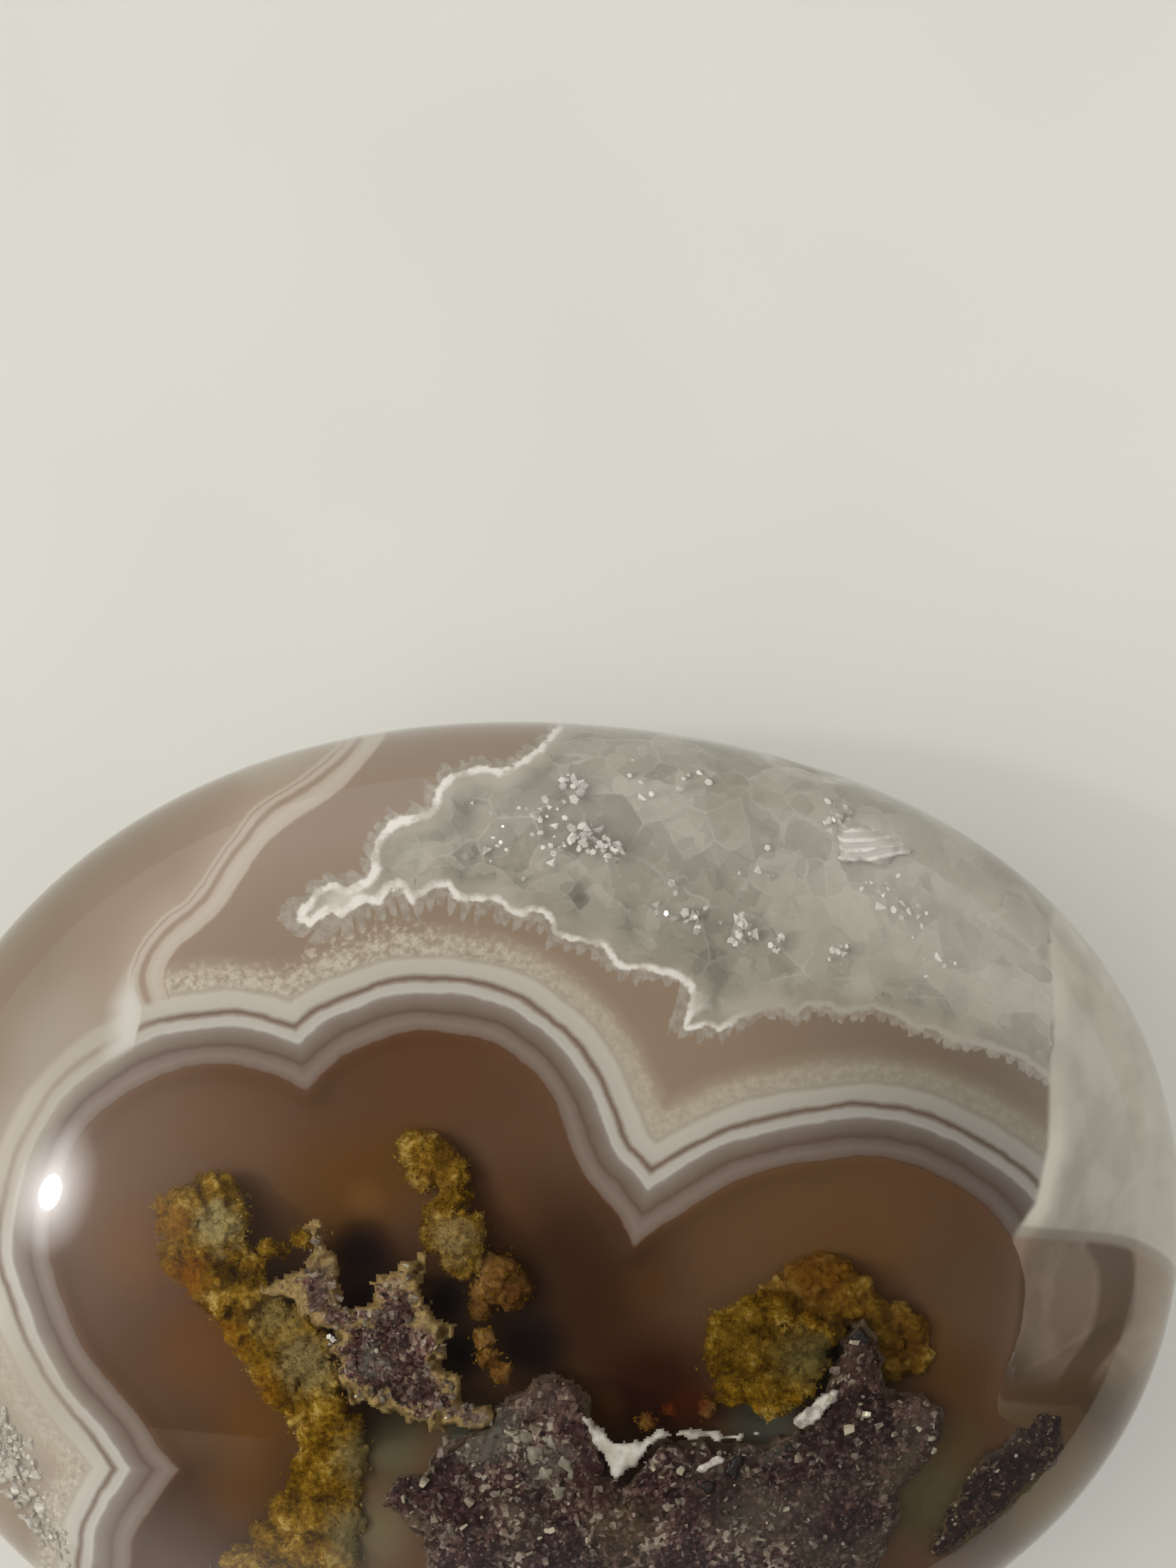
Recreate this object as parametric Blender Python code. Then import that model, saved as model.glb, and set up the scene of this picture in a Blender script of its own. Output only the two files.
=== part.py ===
"""A moss agate palm stone: one piece of agate, ground and polished to a flattened oval.

Metres, +Z up. The stone lies on its back, on the small flat ground there, with its patterned
face up. The origin is at the middle of the bottom of its box, so the flat is the plane z = 0.
The long axis is X. The widest edge, called the girdle, runs round at z = BACK_DROP.
"""

import math

import bmesh
import bpy
from mathutils import Vector

MM = 0.001

# Driving dimensions
LENGTH = 66.0 * MM
WIDTH = 50.6 * MM
FACE_RISE = 12.5 * MM       # from the girdle up to the top of the domed face
BACK_DROP = 10.5 * MM       # from the girdle down to the flat ground on the back
FULLNESS = 2.3              # exponent of the section: 2 is an ellipse, more is a fuller edge
FLAT_SHARE = 0.34           # width of the ground flat as a share of the outline

# The outline is ground by hand, so slow waves run round it: for each number of waves, the height
# of a crest and the bearing of one of the crests, in degrees from +X.
RIM_WAVES = {
    1: (0.12 * MM, 23.0),
    2: (0.14 * MM, 67.0),
    3: (0.15 * MM, -8.0),
    4: (0.20 * MM, 40.0),
    5: (0.14 * MM, -33.0),
}

# A shallow pit where a crystal pocket meets the edge
PIT_BEARING = 63.5          # degrees from +X, in the outline's own angle
PIT_RISE = 1.6 * MM         # its middle, above the girdle
PIT_RADIUS = 2.6 * MM
PIT_DEPTH = 0.75 * MM

# Fineness of the mesh
SPOKES = 120
FACE_RINGS = 20
BACK_RINGS = 16

POLISHED_AGATE = (0.45, 0.36, 0.29, 1.0)
POLISHED_ROUGHNESS = 0.08


def outline_point(angle):
    """A point of the girdle seen from above, at an angle round the oval."""
    half_length, half_width = LENGTH / 2, WIDTH / 2
    mean_radius = (half_length + half_width) / 2
    swell = sum(height * math.cos(count * (angle - math.radians(bearing)))
                for count, (height, bearing) in RIM_WAVES.items())
    stretch = 1.0 + swell / mean_radius
    return half_length * stretch * math.cos(angle), half_width * stretch * math.sin(angle)


def section(turn, height):
    """The oval section at a turn from 0 at the girdle to a quarter turn at the middle.

    Gives the share of the outline's width and the distance from the girdle's plane.
    """
    power = 2.0 / FULLNESS
    return math.cos(turn) ** power, height * math.sin(turn) ** power


def back_height():
    """Height of the whole back before its end is ground flat."""
    return BACK_DROP / (1.0 - FLAT_SHARE ** FULLNESS) ** (1.0 / FULLNESS)


def section_rings():
    """Share of the outline and height of every ring, from the flat up to just short of the top."""
    full_back = back_height()
    flat_turn = math.acos(FLAT_SHARE ** (FULLNESS / 2.0))
    rings = []
    for ring in range(BACK_RINGS):
        share, drop = section(flat_turn * (1.0 - ring / BACK_RINGS), full_back)
        rings.append((share, BACK_DROP - drop))
    for ring in range(FACE_RINGS):
        share, rise = section(math.pi / 2 * ring / FACE_RINGS, FACE_RISE)
        rings.append((share, BACK_DROP + rise))
    return rings


def press_in_pit(points):
    """Moves the points near the pit's middle towards the stone's centre line."""
    edge_x, edge_y = outline_point(math.radians(PIT_BEARING))
    middle = Vector((edge_x, edge_y, BACK_DROP + PIT_RISE))
    inward = -Vector((edge_x / LENGTH ** 2, edge_y / WIDTH ** 2, 0.0)).normalized()
    for point in points:
        away = (point.co - middle).length / PIT_RADIUS
        if away < 1.0:
            point.co += inward * PIT_DEPTH * (1.0 - away ** 2) ** 2


def palm_stone_mesh():
    """The closed surface: rings from the flat to the top, a flat cap below and a tip above."""
    stone = bmesh.new()
    angles = [2 * math.pi * spoke / SPOKES for spoke in range(SPOKES)]
    rings = []
    for share, z in section_rings():
        corners = [outline_point(angle) for angle in angles]
        rings.append([stone.verts.new((share * x, share * y, z)) for x, y in corners])
    for lower, upper in zip(rings, rings[1:]):
        for spoke in range(SPOKES):
            after = (spoke + 1) % SPOKES
            stone.faces.new((lower[spoke], lower[after], upper[after], upper[spoke]))
    ground_flat = stone.faces.new(reversed(rings[0]))
    for edge in ground_flat.edges:
        edge.smooth = False
    top = stone.verts.new((0.0, 0.0, BACK_DROP + FACE_RISE))
    for spoke in range(SPOKES):
        stone.faces.new((rings[-1][spoke], rings[-1][(spoke + 1) % SPOKES], top))
    press_in_pit(stone.verts)
    return stone


def centre_over_origin(stone):
    """Slides the stone so that the middle of its box is over the origin."""
    xs = [point.co.x for point in stone.verts]
    ys = [point.co.y for point in stone.verts]
    middle = Vector(((min(xs) + max(xs)) / 2, (min(ys) + max(ys)) / 2, 0.0))
    bmesh.ops.translate(stone, vec=-middle, verts=stone.verts)


def polished_agate():
    """The polished surface: warm translucent grey-brown chalcedony."""
    material = bpy.data.materials.new("polished_agate")
    material.use_nodes = True
    surface = material.node_tree.nodes["Principled BSDF"]
    surface.inputs["Base Color"].default_value = POLISHED_AGATE
    surface.inputs["Roughness"].default_value = POLISHED_ROUGHNESS
    surface.inputs["Metallic"].default_value = 0.0
    return material


def palm_stone():
    """The stone as one object, shaded smooth but for the sharp edge of its ground flat."""
    stone = palm_stone_mesh()
    centre_over_origin(stone)
    mesh = bpy.data.meshes.new("palm_stone")
    stone.to_mesh(mesh)
    stone.free()
    mesh.shade_smooth()
    mesh.materials.append(polished_agate())
    piece = bpy.data.objects.new("palm_stone", mesh)
    bpy.context.scene.collection.objects.link(piece)
    return piece


for leftover in list(bpy.data.objects):
    bpy.data.objects.remove(leftover)
palm_stone()
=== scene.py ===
# %% [markdown]
# # A moss agate palm stone
# One piece of agate, ground and polished to a flattened oval. Looking down on its face you see
# through a clear polished skin: brown chalcedony lobes with white and grey bands round them, a
# pocket of grey quartz, yellow moss and a grainy purple matrix. The lesson builds the clear
# outside first, then the banded body just under it, and then what floats in its windows.

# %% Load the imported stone
import math

import bpy
import numpy as np
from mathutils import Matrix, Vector


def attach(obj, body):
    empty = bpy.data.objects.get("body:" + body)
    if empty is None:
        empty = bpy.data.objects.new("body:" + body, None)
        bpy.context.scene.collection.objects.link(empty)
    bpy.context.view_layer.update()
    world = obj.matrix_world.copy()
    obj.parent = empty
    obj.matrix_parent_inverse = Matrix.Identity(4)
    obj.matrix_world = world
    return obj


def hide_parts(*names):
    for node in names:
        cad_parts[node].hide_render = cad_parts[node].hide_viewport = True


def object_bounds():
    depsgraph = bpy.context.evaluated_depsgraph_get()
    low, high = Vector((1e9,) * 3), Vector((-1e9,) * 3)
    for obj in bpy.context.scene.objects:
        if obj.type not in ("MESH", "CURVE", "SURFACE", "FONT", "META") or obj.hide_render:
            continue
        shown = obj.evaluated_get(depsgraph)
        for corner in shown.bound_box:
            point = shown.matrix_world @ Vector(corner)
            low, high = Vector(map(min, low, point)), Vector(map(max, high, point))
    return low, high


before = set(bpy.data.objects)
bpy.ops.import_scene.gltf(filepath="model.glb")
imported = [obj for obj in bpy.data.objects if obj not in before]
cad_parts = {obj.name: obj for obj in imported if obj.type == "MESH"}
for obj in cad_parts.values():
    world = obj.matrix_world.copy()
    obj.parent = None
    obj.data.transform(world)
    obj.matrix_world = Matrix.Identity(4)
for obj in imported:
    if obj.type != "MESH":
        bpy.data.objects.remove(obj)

STONE = "palm_stone"
cad_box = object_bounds()
print("CAD box in mm:", [[round(1000 * value, 2) for value in corner] for corner in cad_box])

# %% [markdown]
# ## The ground shape
# The stone is an oval with slow waves round it, because it was held to a wheel by hand, and its
# section is a little fuller than an ellipse. The same few sizes made the solid, so a formula for
# the height of the face at any place lets every later piece sit a set depth under the polish.
# Everything below is worked out in millimetres, and turned into metres when a mesh is made.

# %% Sizes and the polished surface
MM = 0.001
LENGTH = 66.0
WIDTH = 50.6
GIRDLE = 10.5               # height of the widest edge
FULLNESS = 2.3
FLAT_SHARE = 0.34           # the ground flat on the back, as a share of the outline
RIM_WAVES = {1: (0.12, 23.0), 2: (0.14, 67.0), 3: (0.15, -8.0), 4: (0.20, 40.0), 5: (0.14, -33.0)}
FACE_TOP = cad_box[1].z / MM
FACE_RISE = FACE_TOP - GIRDLE
FULL_BACK = GIRDLE / (1.0 - FLAT_SHARE ** FULLNESS) ** (1.0 / FULLNESS)


def stretch(angle):
    """How far the rim's waves move the outline out at an angle round the oval."""
    mean_radius = (LENGTH + WIDTH) / 4
    swell = sum(height * np.cos(count * (angle - np.radians(bearing)))
                for count, (height, bearing) in RIM_WAVES.items())
    return 1.0 + swell / mean_radius


def outline_middle():
    """Middle of the wavy outline's box, which is over the origin."""
    turns = np.linspace(0.0, 2 * np.pi, 3600, endpoint=False)
    x = LENGTH / 2 * stretch(turns) * np.cos(turns)
    y = WIDTH / 2 * stretch(turns) * np.sin(turns)
    return (x.min() + x.max()) / 2, (y.min() + y.max()) / 2


MIDDLE = outline_middle()


def place(angle, share):
    """The point seen from above at an angle round the oval, and a share of the way to its rim."""
    reach = share * stretch(angle)
    x = reach * np.cos(angle) * LENGTH / 2 - MIDDLE[0]
    y = reach * np.sin(angle) * WIDTH / 2 - MIDDLE[1]
    return x, y


def bearing_of(x, y):
    """The angle round the oval and the share of the way to the rim of points seen from above."""
    u = (x + MIDDLE[0]) / (LENGTH / 2)
    v = (y + MIDDLE[1]) / (WIDTH / 2)
    angle = np.arctan2(v, u)
    return angle, np.hypot(u, v) / stretch(angle)


def dome(share):
    """Height of the dome over the girdle as a share of its top."""
    return np.clip(1.0 - np.clip(share, 0.0, 1.0) ** FULLNESS, 0.0, 1.0) ** (1.0 / FULLNESS)


def face_height(share):
    return GIRDLE + FACE_RISE * dome(share)


def face_over(x, y):
    """Height of the face over places seen from above."""
    return face_height(bearing_of(x, y)[1])


def back_height(share):
    return np.maximum(GIRDLE - FULL_BACK * dome(share), 0.0)


print("the face is", round(FACE_TOP, 2), "mm up, over an outline whose middle was at",
      [round(value, 3) for value in MIDDLE])

# %% [markdown]
# ## Where the camera stands
# The picture was taken straight down on the face and very close, so high places look a little
# further from the picture's middle than low ones. All the markings below were read off as if
# they lay in the plane of the girdle, and this cell moves each one in along its line of sight
# until it lies on the face.

# %% Sight lines
CAMERA_HEIGHT = 300.0       # over the girdle
PICTURE_HEIGHT = 78.94      # what the picture shows at the girdle, from bottom to top
PICTURE_MIDDLE = np.array((3.77, 22.0)) - MIDDLE
PICTURE_ROLL = math.radians(-1.96)


def on_face(points):
    """Readings from the picture, as places on the face in the stone's own frame."""
    seen = np.array(points, float).reshape(-1, 2) - MIDDLE
    found = seen.copy()
    for _ in range(3):
        rise = face_over(*found.T) - GIRDLE
        pull = (1.0 - rise / CAMERA_HEIGHT)[:, None]
        found = PICTURE_MIDDLE + (seen - PICTURE_MIDDLE) * pull
    return found


def flowing(points, step=0.3):
    """A smooth line through the points, which it passes in order."""
    points = np.array(points, float)
    ends = np.vstack((2 * points[0] - points[1], points, 2 * points[-1] - points[-2]))
    line = []
    for before, start, end, after in zip(ends, ends[1:], ends[2:], ends[3:]):
        count = max(2, int(np.hypot(*(end - start)) / step))
        t = np.linspace(0.0, 1.0, count, endpoint=False)[:, None]
        line.append(0.5 * (2 * start + (end - before) * t
                           + (2 * before - 5 * start + 4 * end - after) * t ** 2
                           + (3 * start - before - 3 * end + after) * t ** 3))
    return np.vstack(line + [points[-1:]])


def nearest_on(x, y, line):
    """Distance from each point to a line, and how far along the line its nearest place is."""
    nearest = np.full(x.shape, 1e9)
    run = np.zeros(x.shape)
    travelled = 0.0
    for start, end in zip(line, line[1:]):
        along = end - start
        length = np.hypot(*along)
        t = ((x - start[0]) * along[0] + (y - start[1]) * along[1]) / max(along @ along, 1e-9)
        t = np.clip(t, 0.0, 1.0)
        away = (x - start[0] - t * along[0]) ** 2 + (y - start[1] - t * along[1]) ** 2
        run = np.where(away < nearest, travelled + t * length, run)
        nearest = np.minimum(nearest, away)
        travelled += length
    return np.sqrt(nearest), run


def gap_to(x, y, line):
    """Distance from each point to a line."""
    return nearest_on(x, y, line)[0]


def gap_to_ring(x, y, ring):
    """Distance from each point to a closed ring."""
    return gap_to(x, y, np.vstack((ring, ring[:1])))


def within(x, y, ring):
    """True for the points inside a closed ring."""
    inside = np.zeros(x.shape, bool)
    for start, end in zip(ring, np.roll(ring, -1, axis=0)):
        if start[1] == end[1]:
            continue
        crosses = (start[1] > y) != (end[1] > y)
        at = start[0] + (y - start[1]) * (end[0] - start[0]) / (end[1] - start[1])
        inside ^= crosses & (x < at)
    return inside


def smooth_step(low, high, value):
    t = np.clip((value - low) / (high - low), 0.0, 1.0)
    return t * t * (3 - 2 * t)


LATTICE = np.random.default_rng(7).random((64, 64, 64)) * 2 - 1


def lumps(x, y, z, size, shift=0.0):
    """Smooth random lumps of a size, from -1 to 1: random numbers on a lattice, blended between."""
    places = [np.asarray(value / size + shift * (k + 1), float) for k, value in enumerate((x, y, z))]
    cells = [np.floor(value).astype(int) for value in places]
    blends = [smooth_step(0.0, 1.0, value - cell) for value, cell in zip(places, cells)]
    total = 0.0
    for corner in np.ndindex(2, 2, 2):
        weight = 1.0
        for blend, side in zip(blends, corner):
            weight = weight * (blend if side else 1.0 - blend)
        index = tuple((cell + side) % 64 for cell, side in zip(cells, corner))
        total = total + weight * LATTICE[index]
    return total


# %% [markdown]
# ## The lines of the agate
# Chalcedony grows in layers from the moss outwards, so the bands are parallel to the edges of the
# brown lobes, and where two lobes meet every band makes the same sharp valley. One line, the
# edge of the lobes, is therefore enough for all of them: a band is a range of distances from it.
# A second line, crinkled where quartz teeth begin, bounds the quartz pocket, and a third follows
# the layers that grew in from the upper left wall.

# %% The edge of the brown lobes
LOBES = [
    [(-16.5, -27.5), (-18.0, -24.0), (-20.0, -21.0), (-20.8, -18.5), (-20.6, -16.3),
     (-20.3, -15.0), (-19.1, -13.1), (-18.0, -11.8)],
    [(-18.0, -11.8), (-18.9, -10.7), (-20.0, -8.9), (-22.0, -6.3), (-23.0, -4.4), (-23.9, -1.6),
     (-24.1, 0.2), (-23.5, 2.8), (-22.3, 5.1), (-20.4, 6.9), (-18.0, 8.1), (-14.7, 8.5),
     (-12.4, 7.8), (-10.9, 6.9)],
    [(-10.9, 6.9), (-9.7, 8.2), (-8.2, 9.1), (-5.2, 9.85), (-2.0, 9.3), (-0.2, 8.2), (1.2, 6.6),
     (2.1, 4.4), (2.9, 2.4), (3.9, 1.1), (4.8, -0.3), (5.2, -1.6)],
    [(5.2, -1.6), (6.3, -0.7), (9.4, 1.1), (11.7, 2.1), (14.7, 2.6), (17.6, 2.7), (20.2, 1.9),
     (22.6, 0.4), (24.3, -1.6), (24.9, -3.6), (24.6, -6.2), (23.7, -8.6), (23.4, -10.4),
     (25.2, -11.2), (28.5, -11.0), (33.5, -11.5)],
]
lobe_line = np.vstack([on_face(flowing(arc)) for arc in LOBES])
lobe_ring = np.vstack((lobe_line, [(40.0, -40.0), (-20.0, -40.0)]))

# %% The crinkled edge of the quartz pocket, and the layers of the upper left wall
CRINKLE = [
    (3.6, 26.5), (2.6, 24.9), (1.5, 23.7), (0.4, 23.0), (-0.5, 22.5), (-1.3, 22.8), (-2.3, 22.7),
    (-3.0, 22.6), (-3.7, 21.8), (-3.9, 21.1), (-4.3, 20.7), (-5.5, 20.4), (-6.0, 20.3),
    (-6.9, 19.3), (-7.1, 18.6), (-7.0, 18.0), (-7.4, 17.4), (-8.5, 17.0), (-9.3, 17.25),
    (-10.0, 17.0), (-10.9, 15.8), (-10.5, 15.5), (-9.6, 16.1), (-9.1, 16.2), (-8.9, 15.8),
    (-8.0, 16.6), (-7.0, 16.5), (-6.4, 17.2), (-5.8, 17.3), (-5.2, 16.5), (-4.6, 16.9),
    (-4.0, 17.25), (-3.4, 17.2), (-2.9, 16.5), (-1.8, 16.5), (-0.9, 16.4), (-0.3, 15.8),
    (0.1, 15.6), (0.7, 15.85), (1.3, 15.75), (1.8, 15.3), (1.9, 14.6), (3.0, 14.2), (4.4, 13.9),
    (4.9, 13.1), (5.3, 12.8), (6.6, 12.7), (8.0, 12.3), (8.7, 11.7), (8.7, 10.6), (8.3, 9.6),
    (9.4, 9.8), (9.9, 9.5), (11.0, 10.1), (12.4, 10.5), (13.1, 10.6), (13.7, 10.1), (14.4, 10.6),
    (15.4, 10.6), (16.1, 10.2), (17.6, 10.4), (19.1, 9.9), (19.8, 9.3), (20.8, 9.2), (21.8, 8.6),
    (23.4, 8.3), (25.2, 7.6), (26.9, 6.2), (29.0, 4.8), (32.0, 3.4),
]
crinkle_line = on_face(CRINKLE)
crinkle_course = on_face(flowing(CRINKLE[::6] + CRINKLE[-1:]))
quartz_ring = np.vstack((crinkle_line, [(45.0, 0.0), (45.0, 45.0), (5.0, 45.0)]))
WALL = [(-18.2, 8.8), (-17.6, 11.4), (-17.9, 12.9), (-17.0, 14.4), (-15.0, 16.0), (-13.0, 18.8),
        (-11.6, 20.2), (-8.6, 22.2), (-6.2, 24.9), (-5.2, 27.0)]
wall_line = on_face(flowing(WALL))
wall_ring = np.vstack((wall_line, [(-6.0, 45.0), (-60.0, 45.0), (-60.0, -5.0), (-24.0, -2.0)]))


def line_gap(x, y, line, ring):
    """Distance to a line, counted as less than nothing inside the ring that it bounds."""
    gap = gap_to(x, y, line)
    return np.where(within(x, y, ring), -gap, gap)


print("lines of", len(lobe_line), len(crinkle_line), "and", len(wall_line), "points")

# %% [markdown]
# ## Helpers for meshes
# A mesh is made from an array of points and lists of corners. A disc of squares covers an oval
# evenly, with no crowding in the middle: it is a square grid pulled round until its edges are a
# circle. Each ring of squares keeps one distance from the middle, so its outer ring is the rim.

# %% Meshes from arrays
def piece_from(name, points, faces, material, smooth=True):
    """A mesh object from points in millimetres, with its place in the mesh."""
    mesh = bpy.data.meshes.new(name)
    mesh.from_pydata((np.asarray(points) * MM).tolist(), [], faces)
    if smooth:
        mesh.shade_smooth()
    mesh.materials.append(material)
    piece = bpy.data.objects.new(name, mesh)
    bpy.context.scene.collection.objects.link(piece)
    return piece


def remember(piece, **values):
    """Stores numbers on a mesh's points, for its material to read."""
    for name, numbers in values.items():
        attribute = piece.data.attributes.new(name, "FLOAT", "POINT")
        attribute.data.foreach_set("value", np.asarray(numbers, np.float32).ravel())


def disc_of_squares(rings):
    """Angle and distance from the middle of a disc's points, its faces, and its rim in order."""
    side = 2 * rings + 1
    b, a = np.mgrid[-rings:rings + 1, -rings:rings + 1].astype(float)
    wide = np.abs(a) >= np.abs(b)
    safe_a = np.where(a == 0, 1.0, a)
    safe_b = np.where(b == 0, 1.0, b)
    turn = np.where(wide, np.pi / 4 * b / safe_a, np.pi / 2 - np.pi / 4 * a / safe_b)
    radius = np.where(wide, a, b) / rings
    angle = np.arctan2(radius * np.sin(turn), radius * np.cos(turn)).ravel()
    radius = np.abs(radius).ravel()
    corner = np.arange(side * side).reshape(side, side)
    faces = np.stack((corner[:-1, :-1], corner[:-1, 1:], corner[1:, 1:], corner[1:, :-1]), -1)
    rim = np.concatenate((corner[0, :-1], corner[:-1, -1], corner[-1, :0:-1], corner[:0:-1, 0]))
    return angle, radius, faces.reshape(-1, 4).tolist(), rim.tolist()


def closed_between(upper, lower, faces, rim, walls):
    """Points and faces of a closed shape: two discs, joined at the rim through rings of points."""
    count = len(upper)
    points = np.vstack([upper, lower] + walls)
    corners = list(faces) + [[corner + count for corner in reversed(face)] for face in faces]
    rows = [list(rim)] + [list(range(2 * count + k * len(rim), 2 * count + (k + 1) * len(rim)))
                          for k in range(len(walls))] + [[corner + count for corner in rim]]
    for above, below in zip(rows, rows[1:]):
        for k in range(len(rim)):
            after = (k + 1) % len(rim)
            corners.append([above[k], below[k], below[after], above[after]])
    return points, corners


# %% [markdown]
# ## Helpers for materials
# Every finish is a small tree of nodes. Short functions keep the trees readable: one adds a node
# and connects what feeds it, and the others make the sums, ramps and noises that recur. Colours
# are written as the familiar 0 to 255 values and turned into the linear light that Blender works
# with.

# %% Nodes, colours and ramps
def rgb(red, green, blue):
    """A colour from the usual 0 to 255 numbers, as linear light."""
    values = [value / 255 for value in (red, green, blue)]
    return tuple(v / 12.92 if v <= 0.04045 else ((v + 0.055) / 1.055) ** 2.4 for v in values) + (1.0,)


def feed(tree, socket, value):
    """Gives an input a plain value, or the socket that feeds it."""
    if isinstance(value, bpy.types.NodeSocket):
        tree.links.new(value, socket)
    else:
        socket.default_value = value


def add(tree, kind, inputs=None, **settings):
    """Adds a node. Its inputs are plain values, or the sockets that feed them."""
    made = tree.nodes.new(kind)
    for name, value in settings.items():
        setattr(made, name, value)
    for name, value in (inputs or {}).items():
        feed(tree, made.inputs[name], value)
    return made


def math_node(tree, operation, *values, clamp=False):
    inputs = dict(enumerate(values))
    return add(tree, "ShaderNodeMath", inputs, operation=operation, use_clamp=clamp).outputs[0]


def spread(tree, value, low, high, to_low=0.0, to_high=1.0):
    """A value from one range taken smoothly to another."""
    inputs = {"Value": value, "From Min": low, "From Max": high, "To Min": to_low, "To Max": to_high}
    return add(tree, "ShaderNodeMapRange", inputs, interpolation_type="SMOOTHSTEP").outputs[0]


def vector_math(tree, operation, *values, out=0):
    inputs = dict(enumerate(values))
    return add(tree, "ShaderNodeVectorMath", inputs, operation=operation).outputs[out]


def mix(tree, factor, first, second):
    """Two colours mixed. A socket or a plain colour may stand for each."""
    return add(tree, "ShaderNodeMix", {0: factor, 6: first, 7: second}, data_type="RGBA").outputs[2]


def channels(tree, colour):
    """The three channels of a colour, such as the three random numbers of a cell."""
    return add(tree, "ShaderNodeSeparateColor", {"Color": colour}).outputs


def ramp(tree, factor, stops):
    """A colour ramp through (place, colour) stops."""
    made = add(tree, "ShaderNodeValToRGB", {"Fac": factor})
    elements = made.color_ramp.elements
    while len(elements) < len(stops):
        elements.new(1.0)
    for element, (place_of_stop, colour) in zip(elements, stops):
        element.position = place_of_stop
        element.color = colour
    return made.outputs["Color"]


def noise_node(tree, where, size, detail=3.0, roughness=0.55, distortion=0.0):
    """Cloudy noise with lumps of a size in millimetres."""
    inputs = {"Vector": where, "Scale": 1.0 / (size * MM), "Detail": detail,
              "Roughness": roughness, "Distortion": distortion}
    return add(tree, "ShaderNodeTexNoise", inputs)


def noise(*values):
    """The grey of such a noise."""
    return noise_node(*values).outputs["Fac"]


def pushed(tree, where, size, reach):
    """Places pushed one way by noise, so that cells drawn there have uneven edges."""
    push = noise_node(tree, where, size, 2.0).outputs["Color"]
    return vector_math(tree, "MULTIPLY_ADD", push, (reach * MM,) * 3, where)


def swirled(tree, where, size, reach):
    """Places pushed about by noise, so that what is round there comes out uneven."""
    drift = noise_node(tree, where, size, 3.0, 0.65).outputs["Color"]
    drift = vector_math(tree, "SUBTRACT", drift, (0.5,) * 3)
    return vector_math(tree, "MULTIPLY_ADD", drift, (2 * reach * MM,) * 3, where)


def stored(tree, name):
    """A number that was stored on the mesh's points."""
    return add(tree, "ShaderNodeAttribute", attribute_name=name).outputs["Fac"]


def new_material(name):
    """A material with its Principled node and a vector of Object coordinates."""
    material = bpy.data.materials.new(name)
    material.use_nodes = True
    tree = material.node_tree
    where = add(tree, "ShaderNodeTexCoord").outputs["Object"]
    return material, tree, tree.nodes["Principled BSDF"], where


def finish(surface, colour, roughness, specular=0.5):
    """Sets or links a surface's colour and roughness, and its plain specular level."""
    for name, value in (("Base Color", colour), ("Roughness", roughness),
                        ("Specular IOR Level", specular)):
        feed(surface.id_data, surface.inputs[name], value)


def bump(tree, surface, height, distance, strength=1.0):
    """Relief from a height between 0 and 1, its distance in millimetres."""
    made = add(tree, "ShaderNodeBump", {"Height": height, "Distance": distance * MM,
                                        "Strength": strength})
    tree.links.new(made.outputs["Normal"], surface.inputs["Normal"])


# %% [markdown]
# ## Two effects that many finishes share
# A soft patch is a round cloud with its middle at a place in the stone. The chalcedony's brown is
# not one brown: it is redder at the top, ochre near the moss and nearly black in the deep middle,
# and painted light makes the left lobe lighter where light comes through it.
# Everything that floats in it fades towards that brown with depth, as a thing does in murky
# water, so the brown and the depth are groups that each material can place.

# %% Node groups: a soft patch, the depth under the face and the brown of the windows
def new_group(name, inputs, outputs, kind_of_tree="ShaderNodeTree"):
    """An empty node group with named sockets, and its input and output nodes."""
    group = bpy.data.node_groups.new(name, kind_of_tree)
    for socket, kind, value in inputs:
        made = group.interface.new_socket(socket, in_out="INPUT", socket_type=kind)
        if value is not None:
            made.default_value = value
    for socket, kind in outputs:
        group.interface.new_socket(socket, in_out="OUTPUT", socket_type=kind)
    return group, group.nodes.new("NodeGroupInput"), group.nodes.new("NodeGroupOutput")


def soft_patch_group():
    group, given, result = new_group(
        "soft_patch",
        [("Vector", "NodeSocketVector", None), ("Centre", "NodeSocketVector", None),
         ("Radius", "NodeSocketFloat", 5.0 * MM)],
        [("Mask", "NodeSocketFloat")])
    away = vector_math(group, "DISTANCE", given.outputs["Vector"], given.outputs["Centre"], out="Value")
    share = math_node(group, "DIVIDE", away, given.outputs["Radius"])
    group.links.new(spread(group, share, 0.25, 1.0, 1.0, 0.0), result.inputs["Mask"])
    return group


SOFT_PATCH = soft_patch_group()


def patch(tree, where, x, y, z, radius):
    """A soft round mask about a place in millimetres."""
    inputs = {"Vector": where, "Centre": (x * MM, y * MM, z * MM), "Radius": radius * MM}
    return add(tree, "ShaderNodeGroup", inputs, node_tree=SOFT_PATCH).outputs["Mask"]


def clouded(tree, where, colour, clouds, limit=None, level=None):
    """Lays soft clouds of colour over another, where a limit allows them.

    They lie just under the face, or all at one level.
    """
    for x, y, radius, strength, tint in clouds:
        (px, py), = on_face([(x, y)])
        height = float(face_over(px, py)) if level is None else level
        mask = patch(tree, where, px, py, height, radius)
        if limit is not None:
            mask = math_node(tree, "MULTIPLY", mask, limit)
        colour = mix(tree, math_node(tree, "MULTIPLY", mask, strength), colour, tint)
    return colour


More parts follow.
